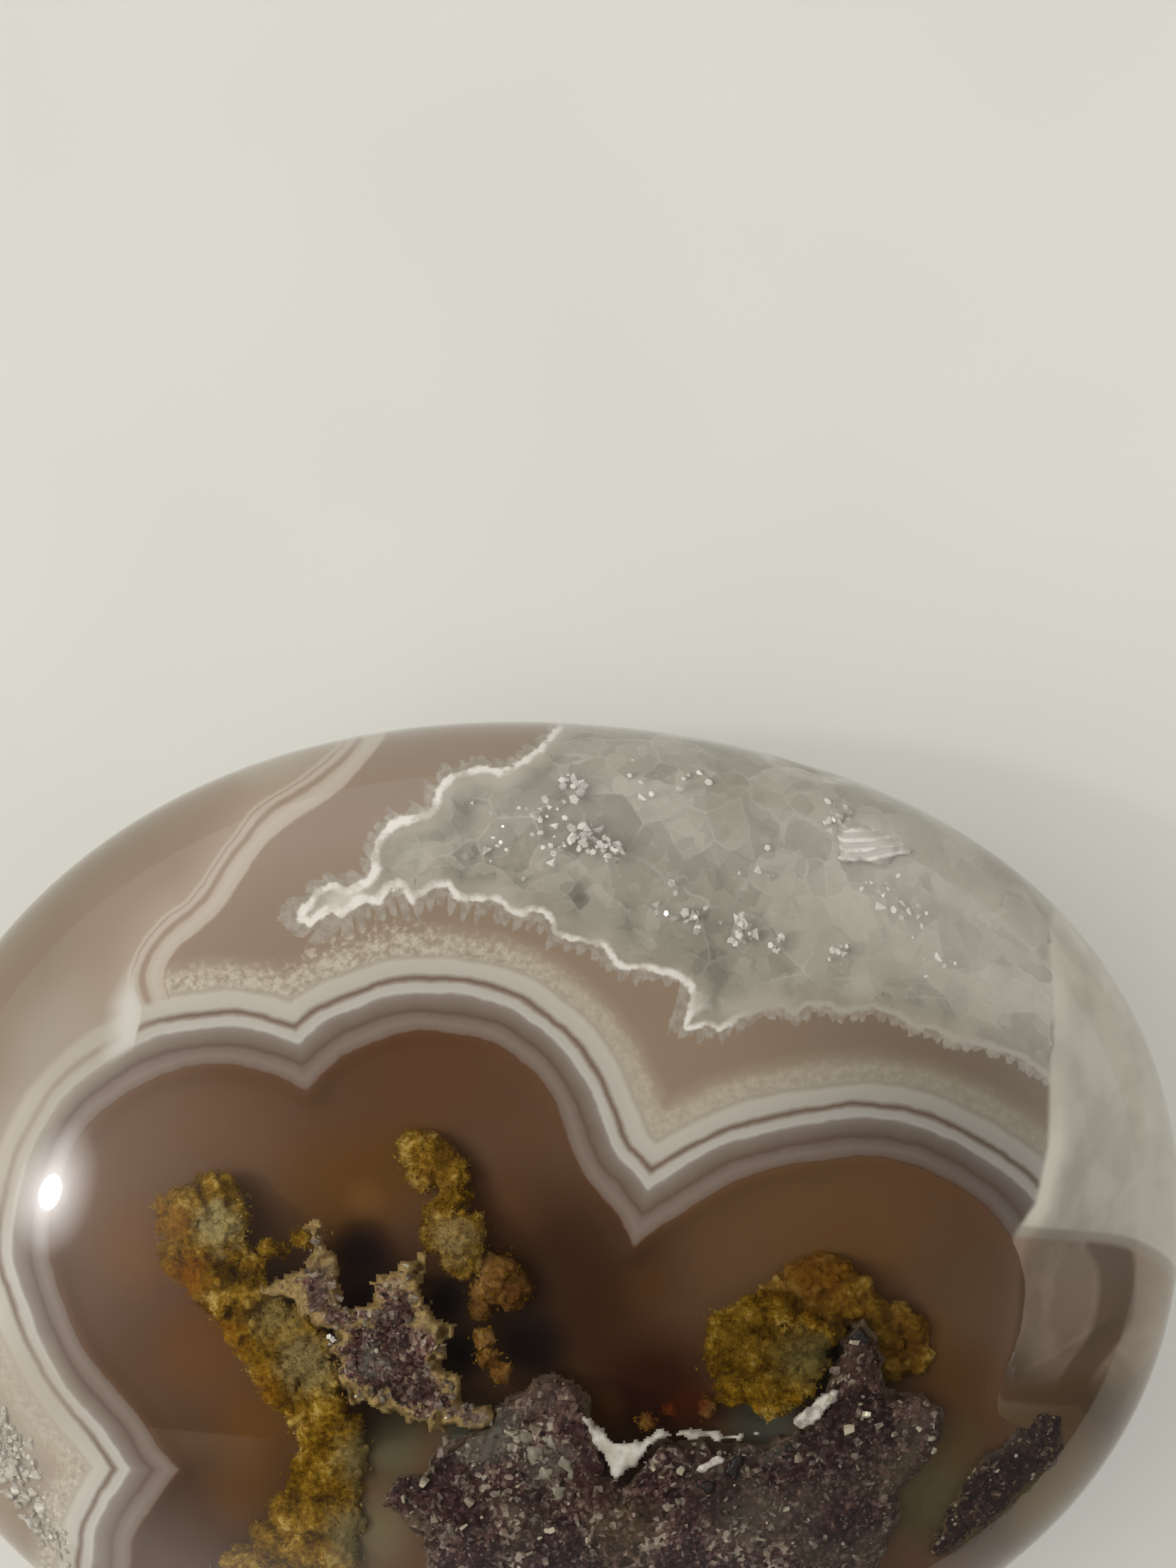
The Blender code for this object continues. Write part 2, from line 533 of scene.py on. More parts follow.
def depth_group():
    """Depth under the polished face, in millimetres."""
    group, given, result = new_group("depth_under_face", [("Vector", "NodeSocketVector", None)],
                                     [("Depth", "NodeSocketFloat")])
    parts = add(group, "ShaderNodeSeparateXYZ", {"Vector": given.outputs["Vector"]}).outputs
    u = math_node(group, "DIVIDE", parts["X"], LENGTH / 2 * MM)
    v = math_node(group, "DIVIDE", parts["Y"], WIDTH / 2 * MM)
    squares = math_node(group, "ADD", math_node(group, "MULTIPLY", u, u),
                        math_node(group, "MULTIPLY", v, v))
    filled = math_node(group, "POWER", squares, FULLNESS / 2)
    left = math_node(group, "SUBTRACT", 1.0, filled, clamp=True)
    rise = math_node(group, "MULTIPLY", math_node(group, "POWER", left, 1 / FULLNESS), FACE_RISE)
    height = math_node(group, "DIVIDE", parts["Z"], MM)
    face = math_node(group, "ADD", rise, GIRDLE)
    group.links.new(math_node(group, "SUBTRACT", face, height), result.inputs["Depth"])
    return group


DEPTH = depth_group()


def depth_of(tree, where):
    return add(tree, "ShaderNodeGroup", {"Vector": where}, node_tree=DEPTH).outputs["Depth"]


BROWN = rgb(104, 76, 53)
BROWN_PATCHES = [
    # x, y, radius, strength, colour
    # The first patch, lighter, is painted light where light comes through the left lobe
    (-18.5, 4.0, 9.0, 0.9, rgb(118, 89, 64)),
    (-5.0, 8.0, 5.5, 0.8, rgb(102, 70, 46)),
    (13.5, 0.5, 9.5, 0.9, rgb(109, 82, 55)),
    (22.5, -4.5, 5.0, 0.9, rgb(100, 77, 54)),
    (-16.5, -13.5, 7.0, 0.9, rgb(80, 54, 33)),
    (-19.4, -0.6, 3.6, 0.5, rgb(124, 84, 40)),
    (-16.4, -5.6, 3.4, 0.6, rgb(118, 76, 26)),
    (-13.8, -9.4, 3.4, 0.7, rgb(112, 74, 24)),
    (-14.6, -12.8, 3.0, 0.6, rgb(108, 72, 26)),
    (1.5, -3.5, 8.0, 0.95, rgb(56, 32, 11)),
    # Painted light: this patch lifts the shadow that the moss casts here
    (-1.6, 0.6, 3.4, 0.6, rgb(100, 64, 34)),
    (-7.0, 2.6, 3.6, 0.6, rgb(112, 74, 30)),
    (-8.0, -3.5, 5.0, 0.9, rgb(62, 38, 14)),
    (-9.4, 1.9, 4.6, 0.9, rgb(104, 70, 28)),
    (-8.2, 1.4, 1.6, 0.6, rgb(128, 90, 46)),
    (-5.4, 3.4, 2.8, 0.7, rgb(108, 74, 26)),
    (-1.4, -3.0, 2.4, 0.6, rgb(96, 64, 24)),
    (5.8, -3.2, 2.4, 0.7, rgb(96, 60, 18)),
    (6.0, -8.8, 4.6, 0.95, rgb(50, 18, 2)),
    (3.4, -9.6, 1.6, 0.6, rgb(92, 56, 10)),
    (8.0, -9.6, 1.6, 0.6, rgb(84, 34, 10)),
    (-8.4, -1.4, 2.3, 0.97, rgb(34, 14, 5)),
    (-8.4, -3.6, 1.2, 0.9, rgb(30, 12, 4)),
    (-4.3, -3.9, 1.8, 0.97, rgb(14, 6, 2)),
    (-3.6, -6.6, 1.8, 0.95, rgb(14, 6, 2)),
    (0.0, -6.2, 2.7, 0.9, rgb(18, 8, 4)),
    (15.6, -2.2, 4.2, 0.5, rgb(108, 74, 34)),
    (19.4, -6.8, 2.6, 0.5, rgb(104, 68, 24)),
    (21.4, -9.6, 4.2, 0.9, rgb(86, 54, 14)),
    (-7.2, -11.4, 2.8, 0.9, rgb(98, 97, 72)),
    (-8.2, -15.0, 3.0, 0.9, rgb(124, 114, 86)),
    (-3.2, -10.9, 2.4, 0.9, rgb(104, 108, 94)),
    (11.6, -10.4, 2.6, 0.9, rgb(92, 96, 84)),
    (15.4, -8.4, 2.6, 0.8, rgb(82, 70, 52)),
    (19.8, -14.4, 3.6, 0.9, rgb(92, 82, 50)),
    (21.2, -11.6, 2.2, 0.7, rgb(88, 70, 34)),
    (26.0, -14.2, 4.2, 0.9, rgb(132, 108, 72)),
]
WINDOW_LEVEL = 17.0         # height of the patches of brown
WINDOW_SQUASH = 0.35        # heights count this much in a patch, which makes it tall
CRACK_LEVEL = -10.6         # where the healed crack's edge would cross the middle of the stone
CRACK_SLOPE = 0.11


def brown_group():
    """The brown of the chalcedony from place to place."""
    group, given, result = new_group("chalcedony_brown", [("Vector", "NodeSocketVector", None)],
                                     [("Color", "NodeSocketColor")])
    where = given.outputs["Vector"]
    cloud = noise(group, where, 6.0, 2.0)
    colour = mix(group, spread(group, cloud, 0.3, 0.7, 0.0, 0.25), BROWN, rgb(88, 58, 38))
    flat = vector_math(group, "MULTIPLY", where, (1.0, 1.0, WINDOW_SQUASH))
    colour = clouded(group, flat, colour, BROWN_PATCHES, level=WINDOW_LEVEL * WINDOW_SQUASH)
    # A healed crack in the lower left lobe catches a little light below one straight edge
    parts = add(group, "ShaderNodeSeparateXYZ", {"Vector": where}).outputs
    across = math_node(group, "MULTIPLY_ADD", parts["X"], -CRACK_SLOPE, CRACK_LEVEL * MM)
    below = math_node(group, "DIVIDE", math_node(group, "SUBTRACT", across, parts["Y"]), MM)
    crack = math_node(group, "MULTIPLY", spread(group, below, 0.0, 0.15),
                      spread(group, below, 3.2, 0.2))
    reach = math_node(group, "MULTIPLY", spread(group, parts["X"], -20.5 * MM, -18.5 * MM),
                      spread(group, parts["X"], -12.0 * MM, -14.5 * MM))
    crack = math_node(group, "MULTIPLY", math_node(group, "MULTIPLY", crack, reach), 0.2)
    colour = mix(group, crack, colour, rgb(146, 120, 92))
    group.links.new(colour, result.inputs["Color"])
    return group


CHALCEDONY = brown_group()
MOST_MURK = 0.92


def brown_at(tree, where):
    return add(tree, "ShaderNodeGroup", {"Vector": where}, node_tree=CHALCEDONY).outputs["Color"]


def murky(tree, where, colour, clear_depth, lost_depth):
    """A colour that fades into the chalcedony's brown between two depths, in millimetres."""
    lost = spread(tree, depth_of(tree, where), clear_depth, lost_depth, 0.0, MOST_MURK)
    return mix(tree, lost, colour, brown_at(tree, where))


# %% [markdown]
# ## The clear polished stone
# The outside is one clear, closed shape with a hand-polished surface. Quartz and chalcedony bend
# light by 1.54. Real glassy materials let lamps shine in, but a renderer's lamps stop at a closed
# glass wall. So the material lets shadow rays pass straight through, dimmed by a fifth, and bends
# all the others.

# %% The polished surface and its glass
STONE_IOR = 1.54
SCRATCHES = 0.35            # share of fine hand-polishing scratches, which blur a lamp's glint
SCRATCH_ROUGHNESS = 0.17
SMEAR_ROUGHNESS = 0.035     # of the most smeared places, where the rest is smooth
LIGHT_LET_IN = (0.8, 0.79, 0.775, 1.0)


def polished_material():
    material, tree, surface, where = new_material("polished_stone")
    smears = noise(tree, where, 2.5, 6.0, 0.7)
    finish(surface, rgb(255, 253, 250), spread(tree, smears, 0.35, 0.75, 0.0, SMEAR_ROUGHNESS))
    surface.inputs["IOR"].default_value = STONE_IOR
    surface.inputs["Transmission Weight"].default_value = 1.0
    surface.inputs["Coat Weight"].default_value = SCRATCHES
    surface.inputs["Coat Roughness"].default_value = SCRATCH_ROUGHNESS
    open_way = add(tree, "ShaderNodeBsdfTransparent", {"Color": LIGHT_LET_IN})
    lamp_ray = add(tree, "ShaderNodeLightPath").outputs["Is Shadow Ray"]
    both = add(tree, "ShaderNodeMixShader", {0: lamp_ray, 1: surface.outputs[0], 2: open_way.outputs[0]})
    tree.links.new(both.outputs[0], tree.nodes["Material Output"].inputs["Surface"])
    return material


POLISHED = polished_material()
STONE_RINGS = 96
FLAT_RINGS = 24
PIT_BEARING = math.radians(63.5)
PIT_RISE = 1.6
PIT_RADIUS = 2.6
PIT_DEPTH = 0.75
WITHIN_BOX = 0.9997         # the solid's flat facets lie this much inside the true oval


def press_in_pit(points):
    """The shallow pit at the edge, with small flat facets in it."""
    edge = np.array(place(PIT_BEARING, 1.0))
    middle = np.array((edge[0], edge[1], GIRDLE + PIT_RISE))
    slope = edge + MIDDLE
    inward = -np.array((slope[0] / LENGTH ** 2, slope[1] / WIDTH ** 2, 0.0))
    inward /= np.linalg.norm(inward)
    away = np.linalg.norm(points - middle, axis=1) / PIT_RADIUS
    press = PIT_DEPTH * np.clip(1.0 - away ** 2, 0.0, 1.0) ** 2
    facet = np.abs(lumps(*points.T, 0.55, 3.0)) * 0.35 + 0.75
    return points + inward * (press * facet)[:, None]


def polished_stone():
    angle, radius, faces, rim = disc_of_squares(STONE_RINGS)
    turn = (1.0 - radius) * np.pi / 2
    x, y = place(angle, WITHIN_BOX * np.cos(turn) ** (2 / FULLNESS))
    upper = np.stack((x, y, GIRDLE + FACE_RISE * np.sin(turn) ** (2 / FULLNESS)), -1)
    flat_edge = FLAT_RINGS / STONE_RINGS
    flat_turn = math.acos(FLAT_SHARE ** (FULLNESS / 2))
    back_turn = flat_turn * np.clip((1.0 - radius) / (1.0 - flat_edge), 0.0, 1.0)
    share = np.where(radius < flat_edge, FLAT_SHARE * radius / flat_edge,
                     np.cos(back_turn) ** (2 / FULLNESS))
    x, y = place(angle, WITHIN_BOX * share)
    drop = np.where(radius <= flat_edge + 1e-6, GIRDLE,
                    FULL_BACK * np.sin(back_turn) ** (2 / FULLNESS))
    lower = np.stack((x, y, GIRDLE - drop), -1)
    inner = np.ones(len(radius), bool)
    inner[rim] = False
    number = np.cumsum(inner) - 1 + len(radius)
    number[rim] = rim
    corners = faces + [[int(number[corner]) for corner in reversed(face)] for face in faces]
    points = press_in_pit(np.vstack((upper, lower[inner])))
    return piece_from("polished_stone", points, corners, POLISHED)


stone = polished_stone()
print("polished stone:", len(stone.data.polygons), "faces")

# %% [markdown]
# ## The banded body
# Agate is nearly opaque where it is banded and clear in its windows. So the bands are the surface
# of a second closed shape a hair under the polish. Its height is the face's height less a depth:
# a fraction of a millimetre in the bands, several in the brown windows, and a few in the quartz
# pocket, whose floor is broken into flat grains. At the right it dives nearly to the girdle,
# because there the stone is clear to its edge.

# %% Depths of the windows and the pockets
SKIN = 0.25                 # depth of the bands under the polish
WINDOW_DEPTH = 3.3
WINDOW_RUN = 7.5            # distance from a window's edge to its deepest part
POCKET_DEPTH = 1.1
DRUSE_DEPTH = 0.55
HAZE_DEPTH = 0.7            # at a window's edge and in the milky apron round the matrix
BODY_REACH = 0.986          # the body stops this share of the way to the rim
CLEAR_REACH = 0.945         # and here where the stone is clear
CLEAR_SPAN = (-24.0, 34.0)  # bearings between which it is clear, in degrees
CLEAR_PART = [(26.2, 17.0), (26.5, 12.0), (26.4, 8.0), (26.1, 3.0), (25.4, 0.2), (24.3, -1.3),
              (23.6, -3.5), (23.4, -6.0), (22.8, -8.4), (23.4, -9.9), (25.2, -10.2), (27.2, -10.3),
              (28.6, -12.0), (36.0, -13.0), (44.0, 4.0), (36.0, 18.0)]
HAZE_PART = [(-14.5, -18.0), (-12.2, -13.5), (-11.2, -9.8), (-9.0, -9.0), (-5.0, -9.6), (-2.6, -9.4),
             (0.2, -9.2), (3.0, -11.2), (6.5, -11.6), (10.0, -11.0), (12.4, -9.6), (14.2, -7.4),
             (17.4, -7.0), (18.6, -9.0), (21.4, -9.6), (24.5, -10.4), (27.5, -10.6), (31.0, -12.0),
             (33.0, -30.0), (-14.0, -32.0)]
DRUSE = [(-29.0, -6.5), (-26.8, -7.2), (-25.3, -9.0), (-24.7, -11.0), (-24.3, -13.0),
         (-23.3, -15.0), (-22.6, -17.5), (-23.5, -20.5), (-30.0, -20.0), (-36.0, -12.0)]


def body_reach(angle):
    """How far out the body goes at each angle: nearly to the rim, a little less where it is clear."""
    turned = np.degrees((angle + np.pi) % (2 * np.pi) - np.pi)
    first, last = CLEAR_SPAN
    clear = smooth_step(first - 9, first + 5, turned) * smooth_step(last + 9, last - 5, turned)
    return BODY_REACH + (CLEAR_REACH - BODY_REACH) * clear


GRAIN_COUNT = 520
GRAIN_SEEDS = np.random.default_rng(11).uniform((-12.0, 5.0), (30.0, 27.0), (GRAIN_COUNT, 2))
GRAIN_LEAN = np.random.default_rng(12).uniform(-0.55, 0.55, (GRAIN_COUNT, 2))
GRAIN_STEP = np.random.default_rng(13).uniform(-0.5, 0.5, GRAIN_COUNT)


def grains(x, y):
    """Broken flat grains: each place belongs to its nearest seed and lies on that seed's plane."""
    nearest = np.full(x.shape, 1e9)
    depth = np.zeros(x.shape)
    for seed, lean, step in zip(GRAIN_SEEDS, GRAIN_LEAN, GRAIN_STEP):
        dx, dy = x - seed[0], y - seed[1]
        away = dx * dx + dy * dy
        closer = away < nearest
        nearest = np.where(closer, away, nearest)
        depth = np.where(closer, step + lean[0] * dx + lean[1] * dy, depth)
    return depth


def agate_lines(x, y):
    """Distances to the three lines of the agate, for points seen from above."""
    lobe = line_gap(x, y, lobe_line, lobe_ring)
    quartz = -line_gap(x, y, crinkle_line, quartz_ring)
    wall = line_gap(x, y, wall_line, wall_ring)
    return lobe, quartz, wall


def depth_in(x, y, outline):
    """How far points lie inside a closed outline that was read from the picture."""
    ring = on_face(outline)
    inside = within(x, y, ring)
    return np.where(inside, gap_to_ring(x, y, ring), 0.0)


def carved_depth(x, y, share, lobe, quartz):
    """Depth of the body's surface under the polished face."""
    room = np.clip((BODY_REACH - share) / 0.13, 0.0, 1.0)
    uneven = lumps(x, y, 0 * x, 2.2, 5.0) * 0.3
    run = -lobe + uneven * smooth_step(0.0, 2.0, -lobe)
    window = WINDOW_DEPTH * smooth_step(0.0, WINDOW_RUN, run)
    window = window * (1.0 - 0.9 * smooth_step(0.0, 2.4, depth_in(x, y, HAZE_PART)))
    window = window + HAZE_DEPTH * smooth_step(0.0, 1.5, -lobe)
    pocket = smooth_step(0.35, 2.4, quartz) * (POCKET_DEPTH + 0.07 * grains(x, y))
    hollow = DRUSE_DEPTH * smooth_step(0.0, 1.2, depth_in(x, y, DRUSE))
    carved = np.maximum(window + pocket + hollow, 0.0) * smooth_step(0.0, 1.0, room)
    rise = face_height(share) - GIRDLE
    clear = smooth_step(0.8, 5.0, depth_in(x, y, CLEAR_PART))
    return SKIN + carved * (1.0 - clear) + np.maximum(rise - SKIN - 0.3, 0.0) * clear


# %% [markdown]
# ## The colours of the bands
# The distance to the lobes' edge is stored on the mesh and read by the material. A little noise
# is added to it, so that no band is ruled, and a ramp turns it into the order of the layers:
# mauve, a dark line, mauve, a thin white line, a brown hair, the wide white band, a grainy pale
# one and tan. The quartz teeth and the layers of the left wall are laid over it the same way.

# %% The banded agate material
BAND_SPAN = 9.0             # distance that the ramp of the bands covers
BANDS = [
    (0.00, rgb(104, 77, 54)), (0.08, rgb(126, 108, 96)), (0.45, rgb(140, 127, 119)),
    (0.80, rgb(128, 113, 103)), (0.98, rgb(110, 92, 82)), (1.20, rgb(124, 109, 99)),
    (1.60, rgb(138, 126, 117)), (1.80, rgb(150, 141, 132)), (1.93, rgb(196, 193, 188)),
    (2.28, rgb(190, 186, 178)), (2.42, rgb(150, 138, 126)), (2.55, rgb(118, 98, 84)),
    (2.68, rgb(160, 151, 141)), (2.80, rgb(190, 186, 178)), (3.40, rgb(197, 192, 183)),
    (3.62, rgb(174, 166, 152)), (3.80, rgb(182, 174, 158)), (4.40, rgb(182, 173, 155)),
    (4.85, rgb(163, 149, 131)), (5.40, rgb(153, 136, 118)), (9.00, rgb(152, 134, 116)),
]
WALL_SPAN = 6.0
WALL_LAYERS = [
    (0.00, rgb(165, 146, 127)), (0.12, rgb(188, 178, 165)), (0.55, rgb(195, 187, 175)),
    (0.85, rgb(186, 174, 160)), (0.98, rgb(160, 141, 124)), (1.15, rgb(158, 139, 122)),
    (1.28, rgb(188, 177, 163)), (1.45, rgb(190, 180, 166)), (1.55, rgb(166, 148, 132)),
    (1.68, rgb(190, 180, 167)), (1.85, rgb(168, 152, 134)), (3.20, rgb(153, 134, 114)),
    (6.00, rgb(136, 119, 97)),
]


def in_span(stops, span):
    return [(gap / span, colour) for gap, colour in stops]


def quartz_teeth(tree, colour, quartz, jagged, fine):
    """Teeth along the crinkled edge: a saw profile along the line, each tooth with its own height."""
    run = math_node(tree, "DIVIDE", stored(tree, "tooth_run"), TOOTH_PITCH)
    saw = add(tree, "ShaderNodeTexVoronoi", {"W": run, "Scale": 1.0, "Randomness": 0.9},
              voronoi_dimensions="1D")
    rounded = math_node(tree, "POWER", saw.outputs["Distance"], 2.6)
    point = math_node(tree, "MULTIPLY_ADD", rounded, -6.5, 1.0, clamp=True)
    own = channels(tree, saw.outputs["Color"])[0]
    height = math_node(tree, "MULTIPLY", point, math_node(tree, "MULTIPLY_ADD", own, 0.6, 0.4))
    height = math_node(tree, "MULTIPLY", height, stored(tree, "tooth_size"))
    edge = math_node(tree, "ADD", quartz, math_node(tree, "ADD", height, 0.42))
    edge = math_node(tree, "ADD", edge, spread(tree, jagged, 0.3, 0.7, -0.09, 0.09))
    inner = mix(tree, spread(tree, fine, 0.35, 0.65), rgb(156, 146, 134), rgb(174, 166, 155))
    return mix(tree, spread(tree, edge, -0.06, 0.10), colour, inner)


def banded_agate():
    material, tree, surface, where = new_material("banded_agate")
    parts = add(tree, "ShaderNodeSeparateXYZ", {"Vector": where}).outputs
    across = math_node(tree, "DIVIDE", parts["X"], MM)
    upward = math_node(tree, "DIVIDE", parts["Y"], MM)
    slow = noise(tree, where, 3.0, 2.0)
    fine = noise(tree, where, 0.45, 3.0)
    shake = math_node(tree, "ADD", spread(tree, slow, 0.3, 0.7, -0.08, 0.08),
                      spread(tree, fine, 0.3, 0.7, -0.02, 0.02))
    lobe = math_node(tree, "ADD", stored(tree, "lobe_gap"), shake)
    quartz = stored(tree, "quartz_gap")
    wall = math_node(tree, "ADD", stored(tree, "wall_gap"), shake)
    bands = ramp(tree, math_node(tree, "DIVIDE", lobe, BAND_SPAN), in_span(BANDS, BAND_SPAN))
    # The grainy pale band: white specks a quarter of a millimetre wide
    speck = noise(tree, where, 0.34, 2.0, 0.6)
    wide = math_node(tree, "SUBTRACT", lobe, spread(tree, across, -13.5, -8.5, 0.0, 0.8))
    wide = math_node(tree, "ADD", wide, spread(tree, across, -7.0, -3.0, 0.0, 0.8))
    grainy = math_node(tree, "MULTIPLY", spread(tree, lobe, 3.5, 3.9),
                       spread(tree, wide, 4.2, 5.3, 1.0, 0.0))
    grainy = math_node(tree, "MULTIPLY", grainy, spread(tree, across, -3.0, 5.0, 1.0, 0.35))
    specks = math_node(tree, "MULTIPLY", grainy, spread(tree, speck, 0.48, 0.66, 0.0, 0.6))
    bands = mix(tree, specks, bands, rgb(214, 208, 194))
    pits = math_node(tree, "MULTIPLY", grainy, spread(tree, speck, 0.48, 0.38, 0.0, 0.5))
    bands = mix(tree, pits, bands, rgb(150, 134, 116))
    # Layers of the upper left wall, where its front came first
    outward = math_node(tree, "MULTIPLY", wall, -1.0)
    layers = ramp(tree, math_node(tree, "DIVIDE", outward, WALL_SPAN), in_span(WALL_LAYERS, WALL_SPAN))
    behind_wall = math_node(tree, "MULTIPLY", spread(tree, wall, 0.05, -0.05),
                            spread(tree, lobe, 3.2, 3.7))
    colour = mix(tree, behind_wall, bands, layers)
    # Painted shade darkens the bands towards the right, and painted light, a milky glow, fills the left end
    # of the stone
    colour = mix(tree, spread(tree, across, 7.0, 22.0, 0.0, 0.32), colour, rgb(40, 36, 30))
    colour = clouded(tree, where, colour, LEFT_PAINTED_GLOWS, spread(tree, lobe, 0.9, 2.4))
    milk = math_node(tree, "MULTIPLY", spread(tree, stored(tree, "milk_gap"), 1.5, 0.1),
                     spread(tree, wall, -1.35, -1.5))
    milk = math_node(tree, "MULTIPLY", milk, spread(tree, lobe, 1.5, 2.2))
    colour = mix(tree, milk, colour, rgb(206, 203, 197))
    # Quartz teeth along the crinkled edge, the bright crest on them, and the grey quartz
    jagged = noise(tree, where, 0.5, 1.0, 0.5, 1.5)
    colour = quartz_teeth(tree, colour, quartz, jagged, fine)
    crest = math_node(tree, "ADD", quartz, spread(tree, fine, 0.3, 0.7, -0.06, 0.06))
    bright = mix(tree, spread(tree, across, 9.0, 11.5), rgb(238, 236, 231), rgb(182, 178, 168))
    worn = noise(tree, where, 1.1, 3.0, 0.6)
    bright = mix(tree, spread(tree, worn, 0.42, 0.62, 0.0, 0.75), bright, rgb(184, 179, 169))
    worn_crest = math_node(tree, "ADD", crest, spread(tree, worn, 0.4, 0.6, 0.0, -0.1))
    colour = mix(tree, spread(tree, worn_crest, -0.34, -0.16), colour, bright)
    past = math_node(tree, "SUBTRACT", crest, spread(tree, across, -1.5, -5.0, 0.0, 0.12))
    mist = mix(tree, spread(tree, slow, 0.35, 0.65), rgb(182, 177, 166), rgb(160, 154, 142))
    colour = mix(tree, spread(tree, past, -0.06, 0.2), colour, mist)
    grey, faces = quartz_grey(tree, where, slow, fine)
    grey = mix(tree, spread(tree, across, 6.0, 22.0, 0.0, 0.6), grey, rgb(196, 193, 181))
    in_pocket = spread(tree, past, 0.15, 1.3)
    colour = mix(tree, in_pocket, colour, grey)
    # Milky clouds in the quartz, and painted reflections at its upper right
    colour = clouded(tree, swirled(tree, where, 1.2, 1.2), colour, QUARTZ_CLOUDS_AND_REFLECTIONS,
                     spread(tree, quartz, -0.25, 0.05))
    # The clear right end: pale above its veil, pinkish below it, with a brown streak
    veil = stored(tree, "veil_gap")
    pale = mix(tree, spread(tree, slow, 0.35, 0.65), rgb(224, 221, 209), rgb(206, 202, 189))
    pink = mix(tree, spread(tree, slow, 0.35, 0.65), rgb(174, 155, 137), rgb(152, 133, 114))
    glass = mix(tree, spread(tree, math_node(tree, "ADD", veil, shake), -0.5, 0.3), pink, pale)
    line_of_veil = spread(tree, math_node(tree, "ABSOLUTE", veil), 0.35, 0.1, 0.0, 0.7)
    glass = mix(tree, line_of_veil, glass, rgb(170, 160, 147))
    streak = math_node(tree, "MULTIPLY", spread(tree, stored(tree, "streak_gap"), 0.95, 0.6),
                       spread(tree, veil, -0.1, -0.5))
    glass = mix(tree, streak, glass, rgb(122, 100, 80))
    low_end = spread(tree, upward, -6.0, -10.0)
    glass = mix(tree, low_end, glass, rgb(110, 84, 50))
    # Painted shade: the foot of the steep wall at the clear part's lower edge is darkened brown
    wall_foot_shade = math_node(tree, "MULTIPLY", spread(tree, stored(tree, "clear_gap"), 2.6, 0.6),
                          spread(tree, upward, -5.0, -7.5))
    glass = mix(tree, wall_foot_shade, glass, rgb(92, 68, 42))
    unbanded = math_node(tree, "MULTIPLY", spread(tree, upward, -5.8, -7.4),
                         spread(tree, across, 19.5, 21.5))
    colour = mix(tree, unbanded, colour, mix(tree, low_end, pink, rgb(104, 82, 54)))
    clear = spread(tree, stored(tree, "clear_gap"), 0.0, 0.35)
    colour = mix(tree, clear, colour, glass)
    # The brown windows
    window = spread(tree, lobe, 0.02, -0.06)
    colour = mix(tree, window, colour, brown_at(tree, where))
    finish(surface, colour, 0.45, 0.08)
    unclear = math_node(tree, "SUBTRACT", in_pocket, clear, clamp=True)
    bump(tree, surface, math_node(tree, "MULTIPLY", faces, unclear), FACE_TILT)
    return material


def quartz_faces(tree, where, size):
    """Flat broken faces: each cell has its own tone and tilts its own way."""
    inputs = {"Vector": where, "Scale": 1 / (size * MM)}
    cells = add(tree, "ShaderNodeTexVoronoi", inputs).outputs
    seams = add(tree, "ShaderNodeTexVoronoi", inputs, feature="DISTANCE_TO_EDGE").outputs["Distance"]
    inside = vector_math(tree, "SUBTRACT", where, cells["Position"])
    tilt = vector_math(tree, "SUBTRACT", cells["Color"], (0.5,) * 3)
    height = vector_math(tree, "DOT_PRODUCT", inside, tilt, out="Value")
    return channels(tree, cells["Color"])[0], seams, math_node(tree, "DIVIDE", height, MM)


def quartz_grey(tree, where, slow, fine):
    """The colour of the quartz and the height of its broken faces, in millimetres."""
    warped = pushed(tree, where, 1.4, 0.7)
    tone, seams, height = quartz_faces(tree, warped, QUARTZ_GRAIN)
    small_tone, small_seams, small_height = quartz_faces(tree, warped, 0.4 * QUARTZ_GRAIN)
    both = math_node(tree, "MULTIPLY_ADD", small_tone, 0.4, math_node(tree, "MULTIPLY", tone, 0.6))
    grey = ramp(tree, both, QUARTZ_TONES)
    faint = math_node(tree, "MULTIPLY", spread(tree, seams, 0.04, 0.0),
                      spread(tree, slow, 0.45, 0.65, 0.1, 0.6))
    grey = mix(tree, faint, grey, rgb(206, 203, 195))
    frost = math_node(tree, "MULTIPLY", spread(tree, small_seams, 0.10, 0.0),
                      spread(tree, fine, 0.5, 0.7, 0.0, 0.35))
    relief = math_node(tree, "MULTIPLY_ADD", small_height, 0.7, height)
    return mix(tree, frost, grey, rgb(204, 201, 193)), relief


